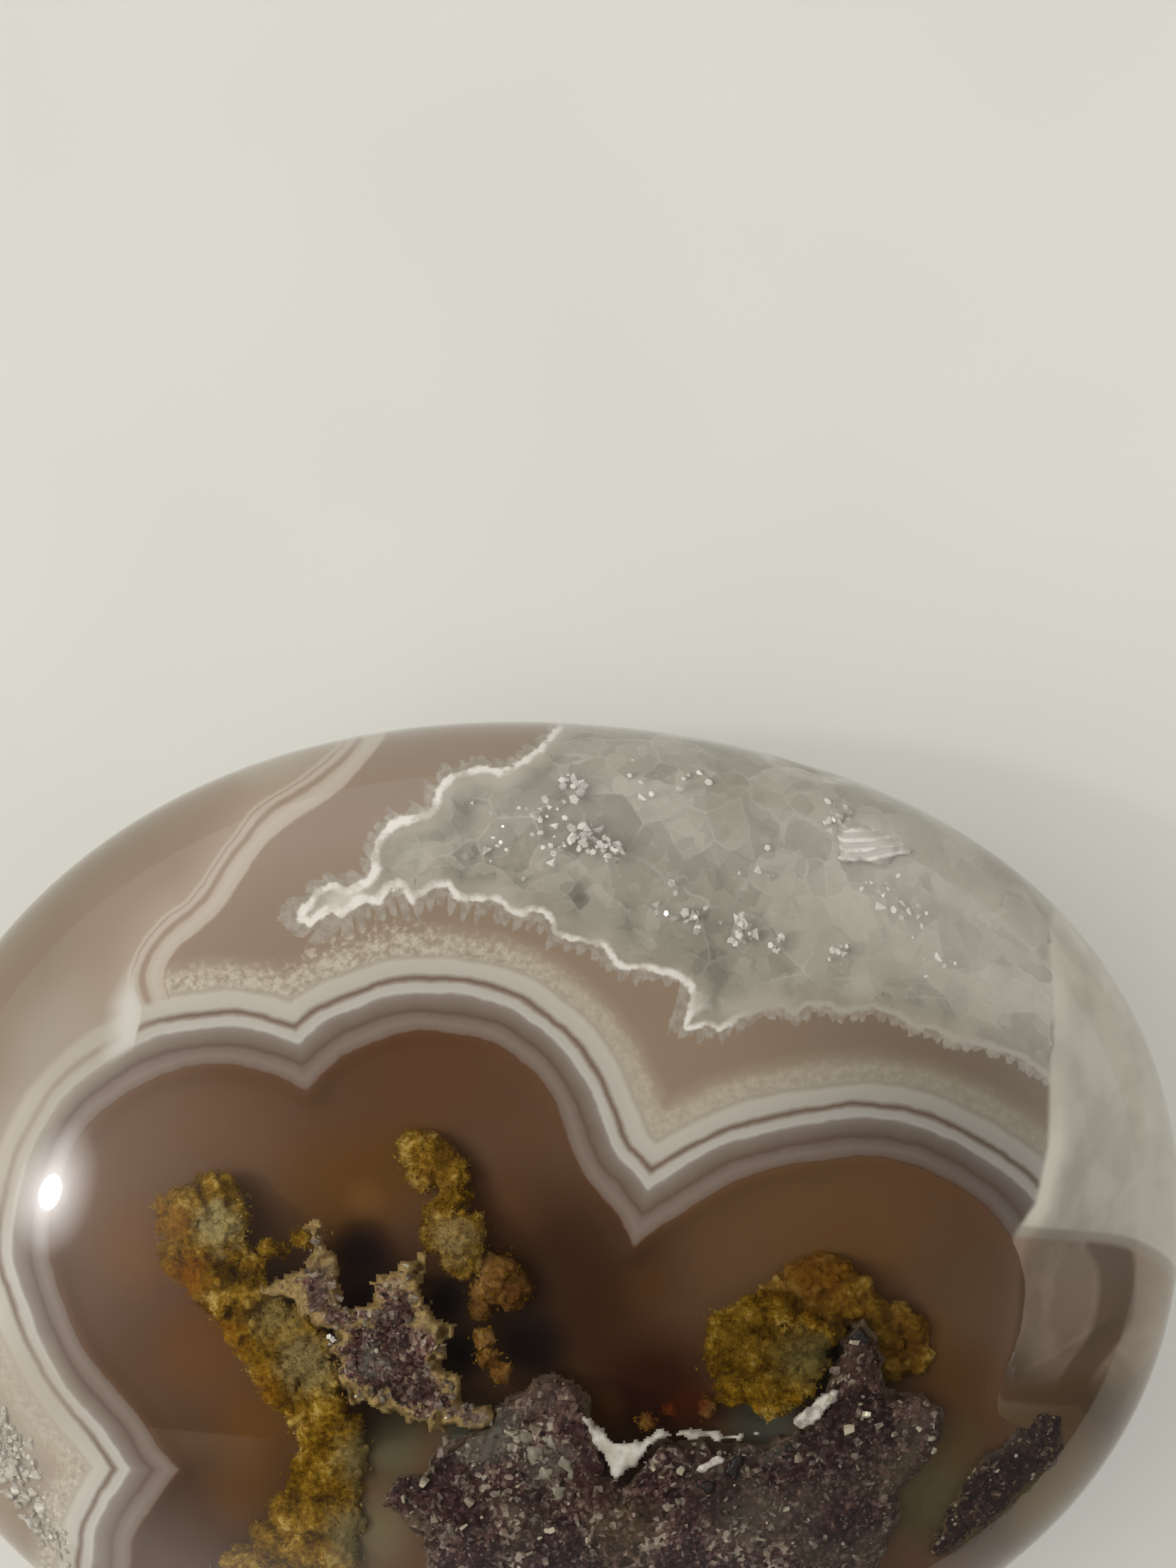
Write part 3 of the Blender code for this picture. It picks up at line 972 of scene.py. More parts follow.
# Painted light: pale glows where light comes through the left end of the stone, and one darker tan patch by
# the far rim
LEFT_PAINTED_GLOWS = [
    # x, y, radius, strength, colour
    (-22.5, 9.0, 6.0, 0.65, rgb(170, 161, 146)),
    (-25.5, 4.0, 5.0, 0.60, rgb(178, 169, 154)),
    (-28.5, 10.5, 5.0, 0.70, rgb(146, 125, 104)),
    (-12.0, 23.5, 3.0, 0.55, rgb(176, 167, 150)),
    (-26.5, -8.5, 6.0, 0.60, rgb(176, 167, 151)),
]
QUARTZ_CLOUDS_AND_REFLECTIONS = [
    (0.0, 18.6, 2.2, 0.5, rgb(200, 194, 180)),
    (8.1, 11.0, 1.5, 0.9, rgb(226, 223, 216)),
    (7.3, 12.0, 0.9, 0.7, rgb(220, 216, 208)),
    (-8.6, 16.5, 1.6, 0.5, rgb(228, 226, 220)),
    (-5.0, 18.2, 1.8, 0.5, rgb(196, 192, 184)),
    (-1.5, 20.6, 2.0, 0.4, rgb(190, 182, 170)),
    (7.6, 21.9, 1.0, 0.6, rgb(206, 190, 182)),
    (11.0, 20.8, 3.0, 0.6, rgb(150, 148, 130)),
    (5.2, 19.8, 1.8, 0.5, rgb(152, 142, 132)),
    (18.2, 18.6, 2.2, 0.6, rgb(214, 212, 204)),
    # The last four, at the upper right where the stone is clear, are painted reflections seen in the quartz
    (24.4, 17.2, 2.2, 0.65, rgb(150, 141, 128)),
    (23.6, 14.6, 1.4, 0.5, rgb(156, 147, 134)),
    (24.6, 12.2, 1.5, 0.6, rgb(158, 149, 136)),
    (24.6, 11.8, 0.5, 0.6, rgb(210, 206, 196)),
]
QUARTZ_TONES = [(0.15, rgb(157, 153, 141)), (0.5, rgb(168, 164, 153)), (0.85, rgb(183, 179, 168))]
QUARTZ_GRAIN = 2.4
FACE_TILT = 0.3
TOOTH_PITCH = 0.56
AGATE = banded_agate()

# %% [markdown]
# ## Building the body
# The face half has the windows and pockets. The back half is plain, a hair inside the polish.
# They meet in a flat hidden joint at the girdle, which keeps each under the size that the stored
# meshes allow. Down the side and over the back the lines are shifted with depth, because the
# layers are not straight walls.

# %% Lines of the clear part: the veil that crosses it and a brown streak below
VEIL = [(24.0, -1.2), (25.4, -1.3), (27.5, -1.75), (29.3, -2.4), (31.5, -3.9), (36.0, -8.0)]
STREAK = [(28.2, -2.3), (28.4, -3.4), (28.3, -5.0), (27.9, -6.8), (27.3, -8.4), (26.8, -9.8)]
MILK_STREAK = [(-19.35, 14.0), (-19.55, 12.6), (-19.6, 11.2), (-19.75, 9.9), (-20.2, 8.9)]
veil_line = on_face(flowing(VEIL))
veil_ring = np.vstack((veil_line, [(36.0, -30.0), (24.0, -30.0)]))
streak_line = on_face(flowing(STREAK))
milk_line = on_face(flowing(MILK_STREAK))


def soften_normals(piece, share_of_face):
    """Turns the shading of the windows' floors towards that of the face above them.

    The brown is a murk with no surface of its own, so light and shade don't pick out its floor.
    """
    mesh = piece.data
    count = len(mesh.vertices)
    places, normals = np.zeros(count * 3), np.zeros(count * 3)
    mesh.vertices.foreach_get("co", places)
    mesh.vertex_normals.foreach_get("vector", normals)
    x, y, _ = (places.reshape(-1, 3) / MM).T
    normals = normals.reshape(-1, 3)
    step = 0.05
    slopes = [(face_over(x + dx, y + dy) - face_over(x - dx, y - dy)) / (2 * step)
              for dx, dy in ((step, 0.0), (0.0, step))]
    face = np.stack((-slopes[0], -slopes[1], np.ones(count)), -1)
    face /= np.linalg.norm(face, axis=1)[:, None]
    share = np.where(normals[:, 2] > 0.2, share_of_face, 0.0)[:, None]
    turned = normals * (1.0 - share) + face * share
    turned[places.reshape(-1, 3)[:, 2] < (GIRDLE + 0.01) * MM, 2] = 0.0
    turned /= np.linalg.norm(turned, axis=1)[:, None]
    mesh.normals_split_custom_set_from_vertices(turned.tolist())


# %% The face and the back of the body
FACE_RINGS = 150
BACK_RINGS = 84
WALL_ROWS = 5
JOINT_GAP = 0.01
TOOTH_SIZES = [(-9.0, 1.1), (-2.0, 1.0), (2.0, 0.6), (9.0, 0.6), (12.0, 0.35), (26.0, 0.3)]


def agate_values(points, share):
    """The distances that the agate's material reads, shifted slowly with depth under the face."""
    x, y, z = points.T
    lobe, quartz, wall = agate_lines(x, y)
    behind = np.maximum(face_height(share) - z - WINDOW_DEPTH - SKIN, 0.0)
    sway = lumps(x, y, z, 9.0, 2.0) * behind
    run = nearest_on(x, y, crinkle_course)[1]
    upper_arm = (x < 4.0) & (y > 17.0 + 0.36 * (x + 10.9))
    tooth = np.interp(x, *np.array(TOOTH_SIZES).T) * np.where(upper_arm, 0.5, 1.0)
    milk = gap_to(x, y, milk_line)
    milk = milk + 0.55 * np.maximum(y - 12.0, 0.0) + 0.4 * np.maximum(10.0 - y, 0.0)
    return {"lobe_gap": lobe - 0.10 * behind + 0.16 * sway,
            "quartz_gap": quartz - 0.12 * behind + 0.14 * sway,
            "wall_gap": wall + 0.10 * behind + 0.12 * sway,
            "clear_gap": depth_in(x, y, CLEAR_PART) - 0.3 * np.maximum(behind - 4.0, 0.0),
            "veil_gap": line_gap(x, y, veil_line, veil_ring),
            "streak_gap": gap_to(x, y, streak_line),
            "milk_gap": milk,
            "tooth_run": run,
            "tooth_size": tooth}


def body_half(name, rings, is_face):
    angle, radius, faces, rim = disc_of_squares(rings)
    share = radius * body_reach(angle)
    x, y = place(angle, share)
    if is_face:
        lobe, quartz, _ = agate_lines(x, y)
        top = face_height(share) - carved_depth(x, y, share, lobe, quartz)
        bottom = np.full(x.shape, GIRDLE)
    else:
        top = np.full(x.shape, GIRDLE - JOINT_GAP)
        bottom = back_height(share) + SKIN
    upper, lower = np.stack((x, y, top), -1), np.stack((x, y, bottom), -1)
    walls = []
    for row in range(1, WALL_ROWS):
        walls.append(upper[rim] + (lower[rim] - upper[rim]) * row / WALL_ROWS)
    points, corners = closed_between(upper, lower, faces, rim, walls)
    if is_face:
        keep = len(faces)
        flat_floor = [[corner + len(upper) for corner in reversed(rim)]]
        corners = corners[:keep] + flat_floor + corners[2 * keep:]
        used = np.ones(len(points), bool)
        used[len(upper):2 * len(upper)] = False
        used[len(upper) + np.array(rim)] = True
        number = np.cumsum(used) - 1
        points = points[used]
        corners = [[int(number[corner]) for corner in face] for face in corners]
    piece = piece_from(name, points, corners, AGATE)
    if not is_face:
        smooth = np.arange(len(corners)) >= len(faces)
        piece.data.polygons.foreach_set("use_smooth", smooth)
    values = agate_values(points, bearing_of(points[:, 0], points[:, 1])[1])
    remember(piece, **values)
    if is_face:
        soften_normals(piece, 0.85 * smooth_step(0.0, 1.2, -values["lobe_gap"]))
    return piece


agate_face = body_half("agate_face", FACE_RINGS, True)
agate_back = body_half("agate_back", BACK_RINGS, False)
print("agate face:", len(agate_face.data.polygons), "back:", len(agate_back.data.polygons), "faces")

# %% [markdown]
# ## The grainy matrix
# Chips and grit of the host rock were caught in the agate, and the polish cuts them flush. They
# are a fine field of heights: each shape's grid lies a hair under the polish, is broken into
# grains, and dives at its edge, so that it looks like rock in clear stone and not like paint.

# %% Outlines of the matrix
LEFT_CHIP = [
    (-10.8, 0.6), (-10.2, 0.15), (-10.0, -0.8), (-9.5, -1.45), (-9.3, -2.4), (-9.1, -3.7),
    (-8.7, -3.95), (-8.25, -3.7), (-7.9, -2.5), (-7.65, -2.25), (-6.8, -2.1), (-6.3, -1.5),
    (-5.6, -1.2), (-5.2, -1.45), (-5.65, -2.5), (-5.2, -3.8), (-4.75, -4.8), (-4.1, -5.0),
    (-4.15, -5.9), (-4.7, -7.15), (-3.5, -7.8), (-3.2, -8.8), (-2.3, -9.25), (-1.9, -9.9),
    (-3.6, -10.3), (-5.1, -10.0), (-6.3, -9.95), (-7.4, -9.25), (-9.1, -8.8), (-9.9, -8.25),
    (-10.1, -7.1), (-10.3, -5.2), (-11.5, -4.7), (-12.1, -3.9), (-13.3, -3.2), (-14.2, -2.7),
    (-13.0, -2.2), (-11.6, -2.0), (-11.15, -1.4), (-11.65, -0.3), (-11.2, 0.2)]
MAIN_ROCK = [
    (-8.1, -14.0), (-7.7, -12.7), (-6.9, -12.3), (-5.8, -11.9), (-5.0, -10.9), (-3.9, -10.6),
    (-2.7, -10.2), (-2.35, -9.7), (-2.3, -9.25), (-1.4, -8.6), (-0.35, -8.15), (-0.05, -7.7),
    (0.6, -7.65), (2.0, -7.75), (2.45, -8.25), (2.75, -9.2), (3.0, -10.1), (3.2, -11.0),
    (3.7, -12.4), (4.4, -12.9), (5.1, -12.2), (5.9, -11.3), (6.6, -10.9), (7.7, -11.05),
    (8.1, -11.1), (9.8, -11.4), (11.5, -11.2), (12.9, -10.9), (14.0, -10.2), (14.6, -8.5),
    (15.3, -6.6), (16.0, -5.6), (16.7, -5.2), (17.2, -5.7), (17.6, -6.45), (17.7, -8.0),
    (18.0, -9.3), (18.8, -9.1), (19.6, -9.3), (20.7, -9.8), (20.9, -11.0), (20.3, -12.3),
    (19.4, -13.2), (18.6, -14.2), (18.2, -16.0), (17.2, -18.2), (15.4, -19.2), (13.2, -18.9),
    (11.4, -20.3), (8.6, -19.8), (6.2, -21.2), (3.4, -20.4), (0.8, -21.6), (-1.8, -20.2),
    (-4.2, -20.9), (-6.1, -19.6), (-6.3, -18.4), (-5.75, -17.2), (-6.3, -15.8), (-7.2, -14.8)]
DARK_CHIP = [
    (26.8, -10.5), (26.5, -12.2), (25.7, -13.4), (24.1, -14.7), (22.9, -15.9), (21.4, -16.9),
    (19.6, -17.7), (19.4, -16.9), (20.5, -15.4), (21.0, -14.0), (21.8, -12.8), (22.8, -12.3),
    (24.0, -11.3), (25.2, -10.4), (26.2, -10.1)]
ROCK_STEP = 0.125
ROCK_SKIN = 0.28
ROCK_DIVE = 2.6
ROCK_THICK = 0.5
RIM_LIMIT = 0.93


def field_piece(name, outline, skin, dive, dive_width, relief, material, seed, step=ROCK_STEP,
                limit=RIM_LIMIT, ragged=0.22):
    """A closed flake under the polish: a grid cut to an outline, rough on top, diving at its edge.

    The relief is the depth of its grains, or a function of the place that gives the depth.
    """
    ring = on_face(outline)
    low, high = ring.min(axis=0), ring.max(axis=0)
    xs = np.arange(low[0] - step, high[0] + step, step)
    ys = np.arange(low[1] - step, high[1] + step, step)
    x, y = np.meshgrid(xs, ys)
    x = x + 0.35 * step * lumps(x, y, 0 * x, 0.3, seed)
    y = y + 0.35 * step * lumps(x, y, 0 * x, 0.3, seed + 9)
    edge = gap_to_ring(x, y, ring) * np.where(within(x, y, ring), 1.0, -1.0)
    edge = edge + ragged * (lumps(x, y, 0 * x, 0.55, seed + 4) + 0.5 * lumps(x, y, 0 * x, 0.24, seed))
    share = bearing_of(x, y)[1]
    edge = np.minimum(edge, (limit - share) * 25.0)
    keep = edge > 0.0
    if callable(relief):
        rough = relief(x, y)
    else:
        rough = sum(weight * np.abs(lumps(x, y, 0 * x, size, seed + size))
                    for size, weight in ((1.3, 1.0), (0.42, 0.9), (0.2, 0.5)))
        rough = relief * rough
    sunk = dive * smooth_step(dive_width, 0.0, edge) ** 1.5
    top = face_height(share) - skin - rough - sunk
    bottom = top - ROCK_THICK - 0.3 * dive * smooth_step(0.0, 2.0, edge)
    cells = keep[:-1, :-1] & keep[1:, :-1] & keep[:-1, 1:] & keep[1:, 1:]
    corner = np.arange(x.size).reshape(x.shape)
    quads = np.stack((corner[:-1, :-1], corner[:-1, 1:], corner[1:, 1:], corner[1:, :-1]), -1)
    quads = quads[cells].tolist()
    sides = {}
    for quad in quads:
        for start, end in zip(quad, quad[1:] + quad[:1]):
            if sides.pop((end, start), None) is None:
                sides[(start, end)] = True
    count = x.size
    faces = quads + [[value + count for value in reversed(quad)] for quad in quads]
    faces = np.array(faces + [[start, start + count, end + count, end] for start, end in sides])
    points = np.vstack([np.stack((x.ravel(), y.ravel(), z.ravel()), -1) for z in (top, bottom)])
    used = np.unique(faces)
    number = np.zeros(len(points), int)
    number[used] = np.arange(len(used))
    piece = piece_from(name, points[used], number[faces].tolist(), material)
    remember(piece, edge_gap=np.tile(edge.ravel(), 2)[used], relief=np.tile(rough.ravel(), 2)[used])
    return piece


# %% The matrix's colours
ROCK_TONES = [(0.00, rgb(14, 6, 6)), (0.22, rgb(40, 22, 21)), (0.48, rgb(68, 42, 40)),
              (0.70, rgb(94, 66, 61)), (0.86, rgb(124, 100, 90)), (0.95, rgb(162, 146, 128)),
              (1.00, rgb(204, 194, 176))]
CHIP_TONES = [(0.00, rgb(16, 6, 5)), (0.22, rgb(52, 26, 23)), (0.48, rgb(92, 58, 54)),
              (0.70, rgb(124, 90, 82)), (0.86, rgb(152, 128, 114)), (0.95, rgb(190, 172, 150)),
              (1.00, rgb(224, 214, 192))]
DARK_TONES = [(0.00, rgb(8, 2, 2)), (0.30, rgb(30, 10, 8)), (0.60, rgb(56, 26, 22)),
              (0.88, rgb(78, 54, 42)), (0.97, rgb(124, 104, 76)), (1.00, rgb(170, 152, 120))]
ROCK_STAINS = [
    # x, y, radius, strength, colour
    (-10.7, 0.0, 2.3, 0.95, rgb(172, 150, 92)),
    (-9.6, -2.6, 1.1, 0.60, rgb(156, 128, 84)),
    (-5.5, -1.9, 2.1, 0.95, rgb(176, 156, 98)),
    (-4.5, -4.6, 1.6, 0.85, rgb(176, 156, 100)),
    (-7.4, -2.8, 0.9, 0.60, rgb(150, 130, 84)),
    (-13.0, -2.7, 1.3, 0.50, rgb(150, 116, 86)),
    (-7.9, -7.0, 1.2, 0.65, rgb(116, 120, 106)),
    (-3.2, -8.6, 1.3, 0.60, rgb(140, 124, 90)),
    (-2.6, -10.6, 2.4, 0.7, rgb(112, 110, 98)),
    (-0.2, -8.8, 1.5, 0.5, rgb(140, 118, 104)),
    (1.8, -9.2, 1.4, 0.4, rgb(140, 112, 100)),
    (0.6, -12.2, 2.0, 0.5, rgb(118, 112, 100)),
    (2.6, -13.4, 1.8, 0.6, rgb(58, 28, 20)),
    (-7.4, -15.6, 2.2, 0.6, rgb(128, 116, 86)),
    (11.8, -10.6, 2.4, 0.75, rgb(92, 94, 82)),
    (15.6, -7.0, 2.6, 0.6, rgb(84, 66, 50)),
    (19.6, -10.2, 1.9, 0.75, rgb(112, 94, 80)),
    (15.6, -11.6, 3.6, 0.7, rgb(36, 22, 18)),
    (9.8, -14.0, 3.0, 0.5, rgb(40, 24, 22)),
    (-4.6, -14.4, 2.6, 0.4, rgb(52, 26, 24)),
    (18.4, -13.4, 2.6, 0.6, rgb(86, 76, 50)),
    (10.6, -15.4, 2.4, 0.5, rgb(96, 90, 74)),
    (4.2, -15.6, 2.6, 0.5, rgb(98, 84, 56)),
]


GRAIN_SIZE = 0.26
SMALL_GRAIN_SIZE = 0.14


def cell_tones(tree, where, size):
    """Three random numbers for each cell of a size in millimetres."""
    cells = add(tree, "ShaderNodeTexVoronoi", {"Vector": where, "Scale": 1 / (size * MM)})
    return channels(tree, cells.outputs["Color"])


def grainy_rock(name, tones, crust, crust_width):
    """Sand-sized grains: each cell takes its own tone, and the whole is stained here and there."""
    material, tree, surface, where = new_material(name)
    warped = pushed(tree, where, 0.8, 0.4)
    tone = cell_tones(tree, warped, GRAIN_SIZE)
    stain = noise(tree, where, 2.6, 3.0)
    shifted = math_node(tree, "ADD", tone[0], spread(tree, stain, 0.3, 0.7, -0.44, 0.2), clamp=True)
    colour = ramp(tree, shifted, tones)
    small_tone = cell_tones(tree, warped, SMALL_GRAIN_SIZE)
    colour = mix(tree, 0.35, colour, ramp(tree, small_tone[1], tones))
    green = spread(tree, noise(tree, where, 4.5, 2.0), 0.52, 0.68, 0.0, 0.35)
    colour = mix(tree, green, colour, rgb(94, 86, 68))
    dark = spread(tree, noise(tree, where, 1.9, 3.0, 0.6, 1.0), 0.46, 0.60, 0.0, 0.6)
    colour = mix(tree, dark, colour, rgb(30, 13, 12))
    colour = clouded(tree, swirled(tree, where, 0.9, 1.3), colour, ROCK_STAINS,
                     spread(tree, tone[1], 0.0, 1.0, 0.5, 1.0))
    edge = math_node(tree, "ADD", stored(tree, "edge_gap"), spread(tree, stain, 0.3, 0.7, -0.25, 0.25))
    flaky = spread(tree, noise(tree, where, 0.4, 3.0, 0.65, 0.8), 0.36, 0.62)
    crust_colour = mix(tree, flaky, mix(tree, 0.55, crust, rgb(70, 44, 24)), crust)
    edge = math_node(tree, "ADD", edge, spread(tree, small_tone[2], 0.0, 1.0, -0.12, 0.12))
    crusted = spread(tree, edge, crust_width, 0.5 * crust_width, 0.0, 0.92)
    colour = mix(tree, crusted, colour, crust_colour)
    finish(surface, colour, 0.5, 0.15)
    bump(tree, surface, tone[2], 0.05, 0.5)
    return material


ROCK = grainy_rock("grainy_rock", CHIP_TONES, rgb(186, 160, 104), 0.95)
DARK_ROCK = grainy_rock("dark_rock", DARK_TONES, rgb(104, 84, 52), 0.3)
MAIN_GRIT = grainy_rock("main_grit", ROCK_TONES, rgb(136, 120, 100), 0.5)
left_chip = field_piece("left_chip", LEFT_CHIP, ROCK_SKIN, 1.5, 0.55, 0.2, ROCK, 3, ragged=0.42)
main_rock = field_piece("main_rock", MAIN_ROCK, ROCK_SKIN, ROCK_DIVE, 0.6, 0.18, MAIN_GRIT, 8)
dark_chip = field_piece("dark_chip", DARK_CHIP, 0.14, 0.6, 0.4, 0.05, DARK_ROCK, 12, limit=0.972)
print("matrix:", [len(piece.data.polygons) for piece in (left_chip, main_rock, dark_chip)], "faces")

# %% [markdown]
# ## The moss
# The "moss" is iron oxide that grew into the silica while it was still a gel. Each plume is a
# heap of lumps, and each lump carries smaller ones. Up to a few thousand points with sizes are
# turned into a volume and back into a skin by Geometry Nodes, which melts the lumps together.
# Noise roughens the skin, and tiny spikes give it the velvet of the real growth.

# %% Trees and their results
def new_tree(name, inputs):
    """An empty Geometry Nodes tree with named inputs, and its input and output nodes."""
    return new_group(name, [("Geometry", "NodeSocketGeometry", None)] + inputs,
                     [("Geometry", "NodeSocketGeometry")], "GeometryNodeTree")


def grown(name, seeds, tree, **values):
    """Runs a tree on a mesh of seeds and gives the result as a plain mesh piece."""
    modifier = seeds.modifiers.new(name, "NODES")
    modifier.node_group = tree
    for item in tree.interface.items_tree:
        if item.item_type == "SOCKET" and item.in_out == "INPUT" and item.name.lower() in values:
            modifier[item.identifier] = values[item.name.lower()]
    graph = bpy.context.evaluated_depsgraph_get()
    mesh = bpy.data.meshes.new_from_object(seeds.evaluated_get(graph))
    mesh.name = name
    piece = bpy.data.objects.new(name, mesh)
    bpy.context.scene.collection.objects.link(piece)
    seed_mesh = seeds.data
    bpy.data.objects.remove(seeds)
    bpy.data.meshes.remove(seed_mesh)
    print(name, "has", sum(len(face.vertices) - 2 for face in mesh.polygons), "triangles")
    return piece


def seed_points(name, points, **values):
    """Loose points in millimetres with numbers stored on them, for a tree to grow from."""
    mesh = bpy.data.meshes.new(name)
    mesh.from_pydata((np.asarray(points) * MM).tolist(), [], [])
    seeds = bpy.data.objects.new(name, mesh)
    bpy.context.scene.collection.objects.link(seeds)
    remember(seeds, **values)
    return seeds


SPIKE_LEAN = 0.6            # most that a spike leans from the skin's normal, in radians
SHORTEST_SPIKE = 0.35       # as a share of the longest
FULL_TURN = 6.28


def moss_tree():
    tree, given, result = new_tree("moss_plume", [
        ("Voxel", "NodeSocketFloat", 0.15 * MM), ("Rough", "NodeSocketFloat", 0.3 * MM),
        ("Spikes", "NodeSocketFloat", 10.0), ("Spike", "NodeSocketFloat", 0.3 * MM),
        ("Seed", "NodeSocketInt", 0), ("Material", "NodeSocketMaterial", None)])
    size = add(tree, "GeometryNodeInputNamedAttribute", {"Name": "size"}, data_type="FLOAT")
    size = size.outputs["Attribute"]
    points = add(tree, "GeometryNodeMeshToPoints", {"Mesh": given.outputs["Geometry"], "Radius": size})
    volume = add(tree, "GeometryNodePointsToVolume", {
        "Points": points.outputs[0], "Voxel Size": given.outputs["Voxel"], "Radius": size,
        "Density": 1.0}, resolution_mode="VOXEL_SIZE")
    skin = add(tree, "GeometryNodeVolumeToMesh", {"Volume": volume.outputs[0], "Threshold": 0.1,
                                                  "Adaptivity": 0.0}, resolution_mode="GRID")
    normal = add(tree, "GeometryNodeInputNormal").outputs[0]
    moved = skin.outputs[0]
    for lump_size, share in ((0.9, 1.0), (0.35, 0.6)):
        cloud = add(tree, "ShaderNodeTexNoise", {"Scale": 1 / (lump_size * MM), "Detail": 2.0})
        push = add(tree, "ShaderNodeMapRange", {"Value": cloud.outputs[0], "From Min": 0.3,
                                                "From Max": 0.7, "To Min": -share, "To Max": share})
        push = math_node(tree, "MULTIPLY", push.outputs[0], given.outputs["Rough"])
        offset = add(tree, "ShaderNodeVectorMath", {0: normal, "Scale": push}, operation="SCALE")
        moved = add(tree, "GeometryNodeSetPosition", {"Geometry": moved, "Offset": offset.outputs[0]})
        moved = moved.outputs[0]
    smooth = add(tree, "GeometryNodeSetShadeSmooth", {"Geometry": moved}).outputs[0]
    spots = add(tree, "GeometryNodeDistributePointsOnFaces", {
        "Mesh": moved, "Density": given.outputs["Spikes"], "Seed": given.outputs["Seed"]})
    cone = add(tree, "GeometryNodeMeshCone", {"Vertices": 4, "Radius Top": 0.0,
                                              "Radius Bottom": 0.13, "Depth": 1.0})
    turn = add(tree, "FunctionNodeRandomValue", {
        "Min": (-SPIKE_LEAN, -SPIKE_LEAN, 0.0), "Max": (SPIKE_LEAN, SPIKE_LEAN, FULL_TURN),
        "Seed": given.outputs["Seed"]}, data_type="FLOAT_VECTOR")
    leaned = add(tree, "FunctionNodeRotateRotation", {"Rotation": spots.outputs["Rotation"],
                                                      "Rotate By": turn.outputs["Value"]},
                 rotation_space="LOCAL")
    scale = add(tree, "FunctionNodeRandomValue", {2: SHORTEST_SPIKE, 3: 1.0,
                                                  "Seed": given.outputs["Seed"]}, data_type="FLOAT")
    scale = math_node(tree, "MULTIPLY", scale.outputs[1], given.outputs["Spike"])
    spikes = add(tree, "GeometryNodeInstanceOnPoints", {
        "Points": spots.outputs["Points"], "Instance": cone.outputs["Mesh"],
        "Rotation": leaned.outputs[0], "Scale": scale})
    both = add(tree, "GeometryNodeJoinGeometry")
    tree.links.new(smooth, both.inputs[0])
    tree.links.new(spikes.outputs[0], both.inputs[0])
    real = add(tree, "GeometryNodeRealizeInstances", {"Geometry": both.outputs[0]})
    last = add(tree, "GeometryNodeSetMaterial", {"Geometry": real.outputs[0],
                                                 "Material": given.outputs["Material"]})
    tree.links.new(last.outputs[0], result.inputs[0])
    return tree


MOSS_TREE = moss_tree()

# %% Lumps on lumps
TWIG_SIZES = (0.14, 0.32)   # of a lump on a lump, as a share of the larger one
TWIG_REACH = (0.85, 1.08)   # how far out it sits, as a share of the larger one's size
LATER_TWIGS = 5
LEVELS = 2
SMALLEST_LUMP = 0.09
MOSS_SKIN = 0.3             # the lumps keep this far under the polish
DUST_SKIN = 0.35


def lump_heap(heap, seed, twigs):
    """Points and sizes of a plume: each lump (x, y, depth, size) carries smaller ones, twice over."""
    chance = np.random.default_rng(seed)
    places, sizes = [], []
    layer = []
    for x, y, depth, size in heap:
        (px, py), = on_face([(x, y)])
        height = float(face_over(px, py)) - depth
        layer.append((np.array((px, py, height)), size))
    for level in range(LEVELS + 1):
        places += [place_of_lump for place_of_lump, _ in layer]
        sizes += [size for _, size in layer]
        following = []
        for middle, size in layer:
            for _ in range(twigs if level == 0 else LATER_TWIGS):
                way = chance.normal(size=3)
                way /= np.linalg.norm(way)
                small = size * chance.uniform(*TWIG_SIZES)
                following.append((middle + way * size * chance.uniform(*TWIG_REACH), small))
        layer = [(middle, size) for middle, size in following if size > SMALLEST_LUMP]
    places, sizes = np.array(places), np.array(sizes)
    roof = face_over(places[:, 0], places[:, 1]) - MOSS_SKIN - sizes
    places[:, 2] = np.minimum(places[:, 2], roof)
    return places, sizes


def moss_piece(name, heap, seed, material, voxel=0.12, rough=0.14, spikes=40.0, spike=0.26, twigs=34):
    places, sizes = lump_heap(heap, seed, twigs)
    seeds = seed_points(name + "_seeds", places, size=sizes * MM)
    return grown(name, seeds, MOSS_TREE, voxel=voxel * MM, rough=rough * MM,
                 spikes=spikes / MM ** 2, spike=spike * MM, seed=seed, material=material)


def mossy(name, tones, clear_depth, lost_depth):
    """Iron-oxide colours in lumps, fading into the brown of the stone with depth."""
    material, tree, surface, where = new_material(name)
    big = noise(tree, where, 1.8, 3.0)
    fine = noise(tree, where, 0.28, 3.0, 0.65)
    tone = math_node(tree, "ADD", math_node(tree, "MULTIPLY", big, 0.6),
                     math_node(tree, "MULTIPLY", fine, 0.4))
    colour = ramp(tree, spread(tree, tone, 0.34, 0.66), tones)
    flat = vector_math(tree, "MULTIPLY", swirled(tree, where, 0.9, 1.4), (1.0, 1.0, 0.0))
    colour = clouded(tree, flat, colour, MOSS_STAINS, level=0.0)
    colour = murky(tree, where, colour, clear_depth, lost_depth)
    finish(surface, colour, 0.7, 0.05)
    return material


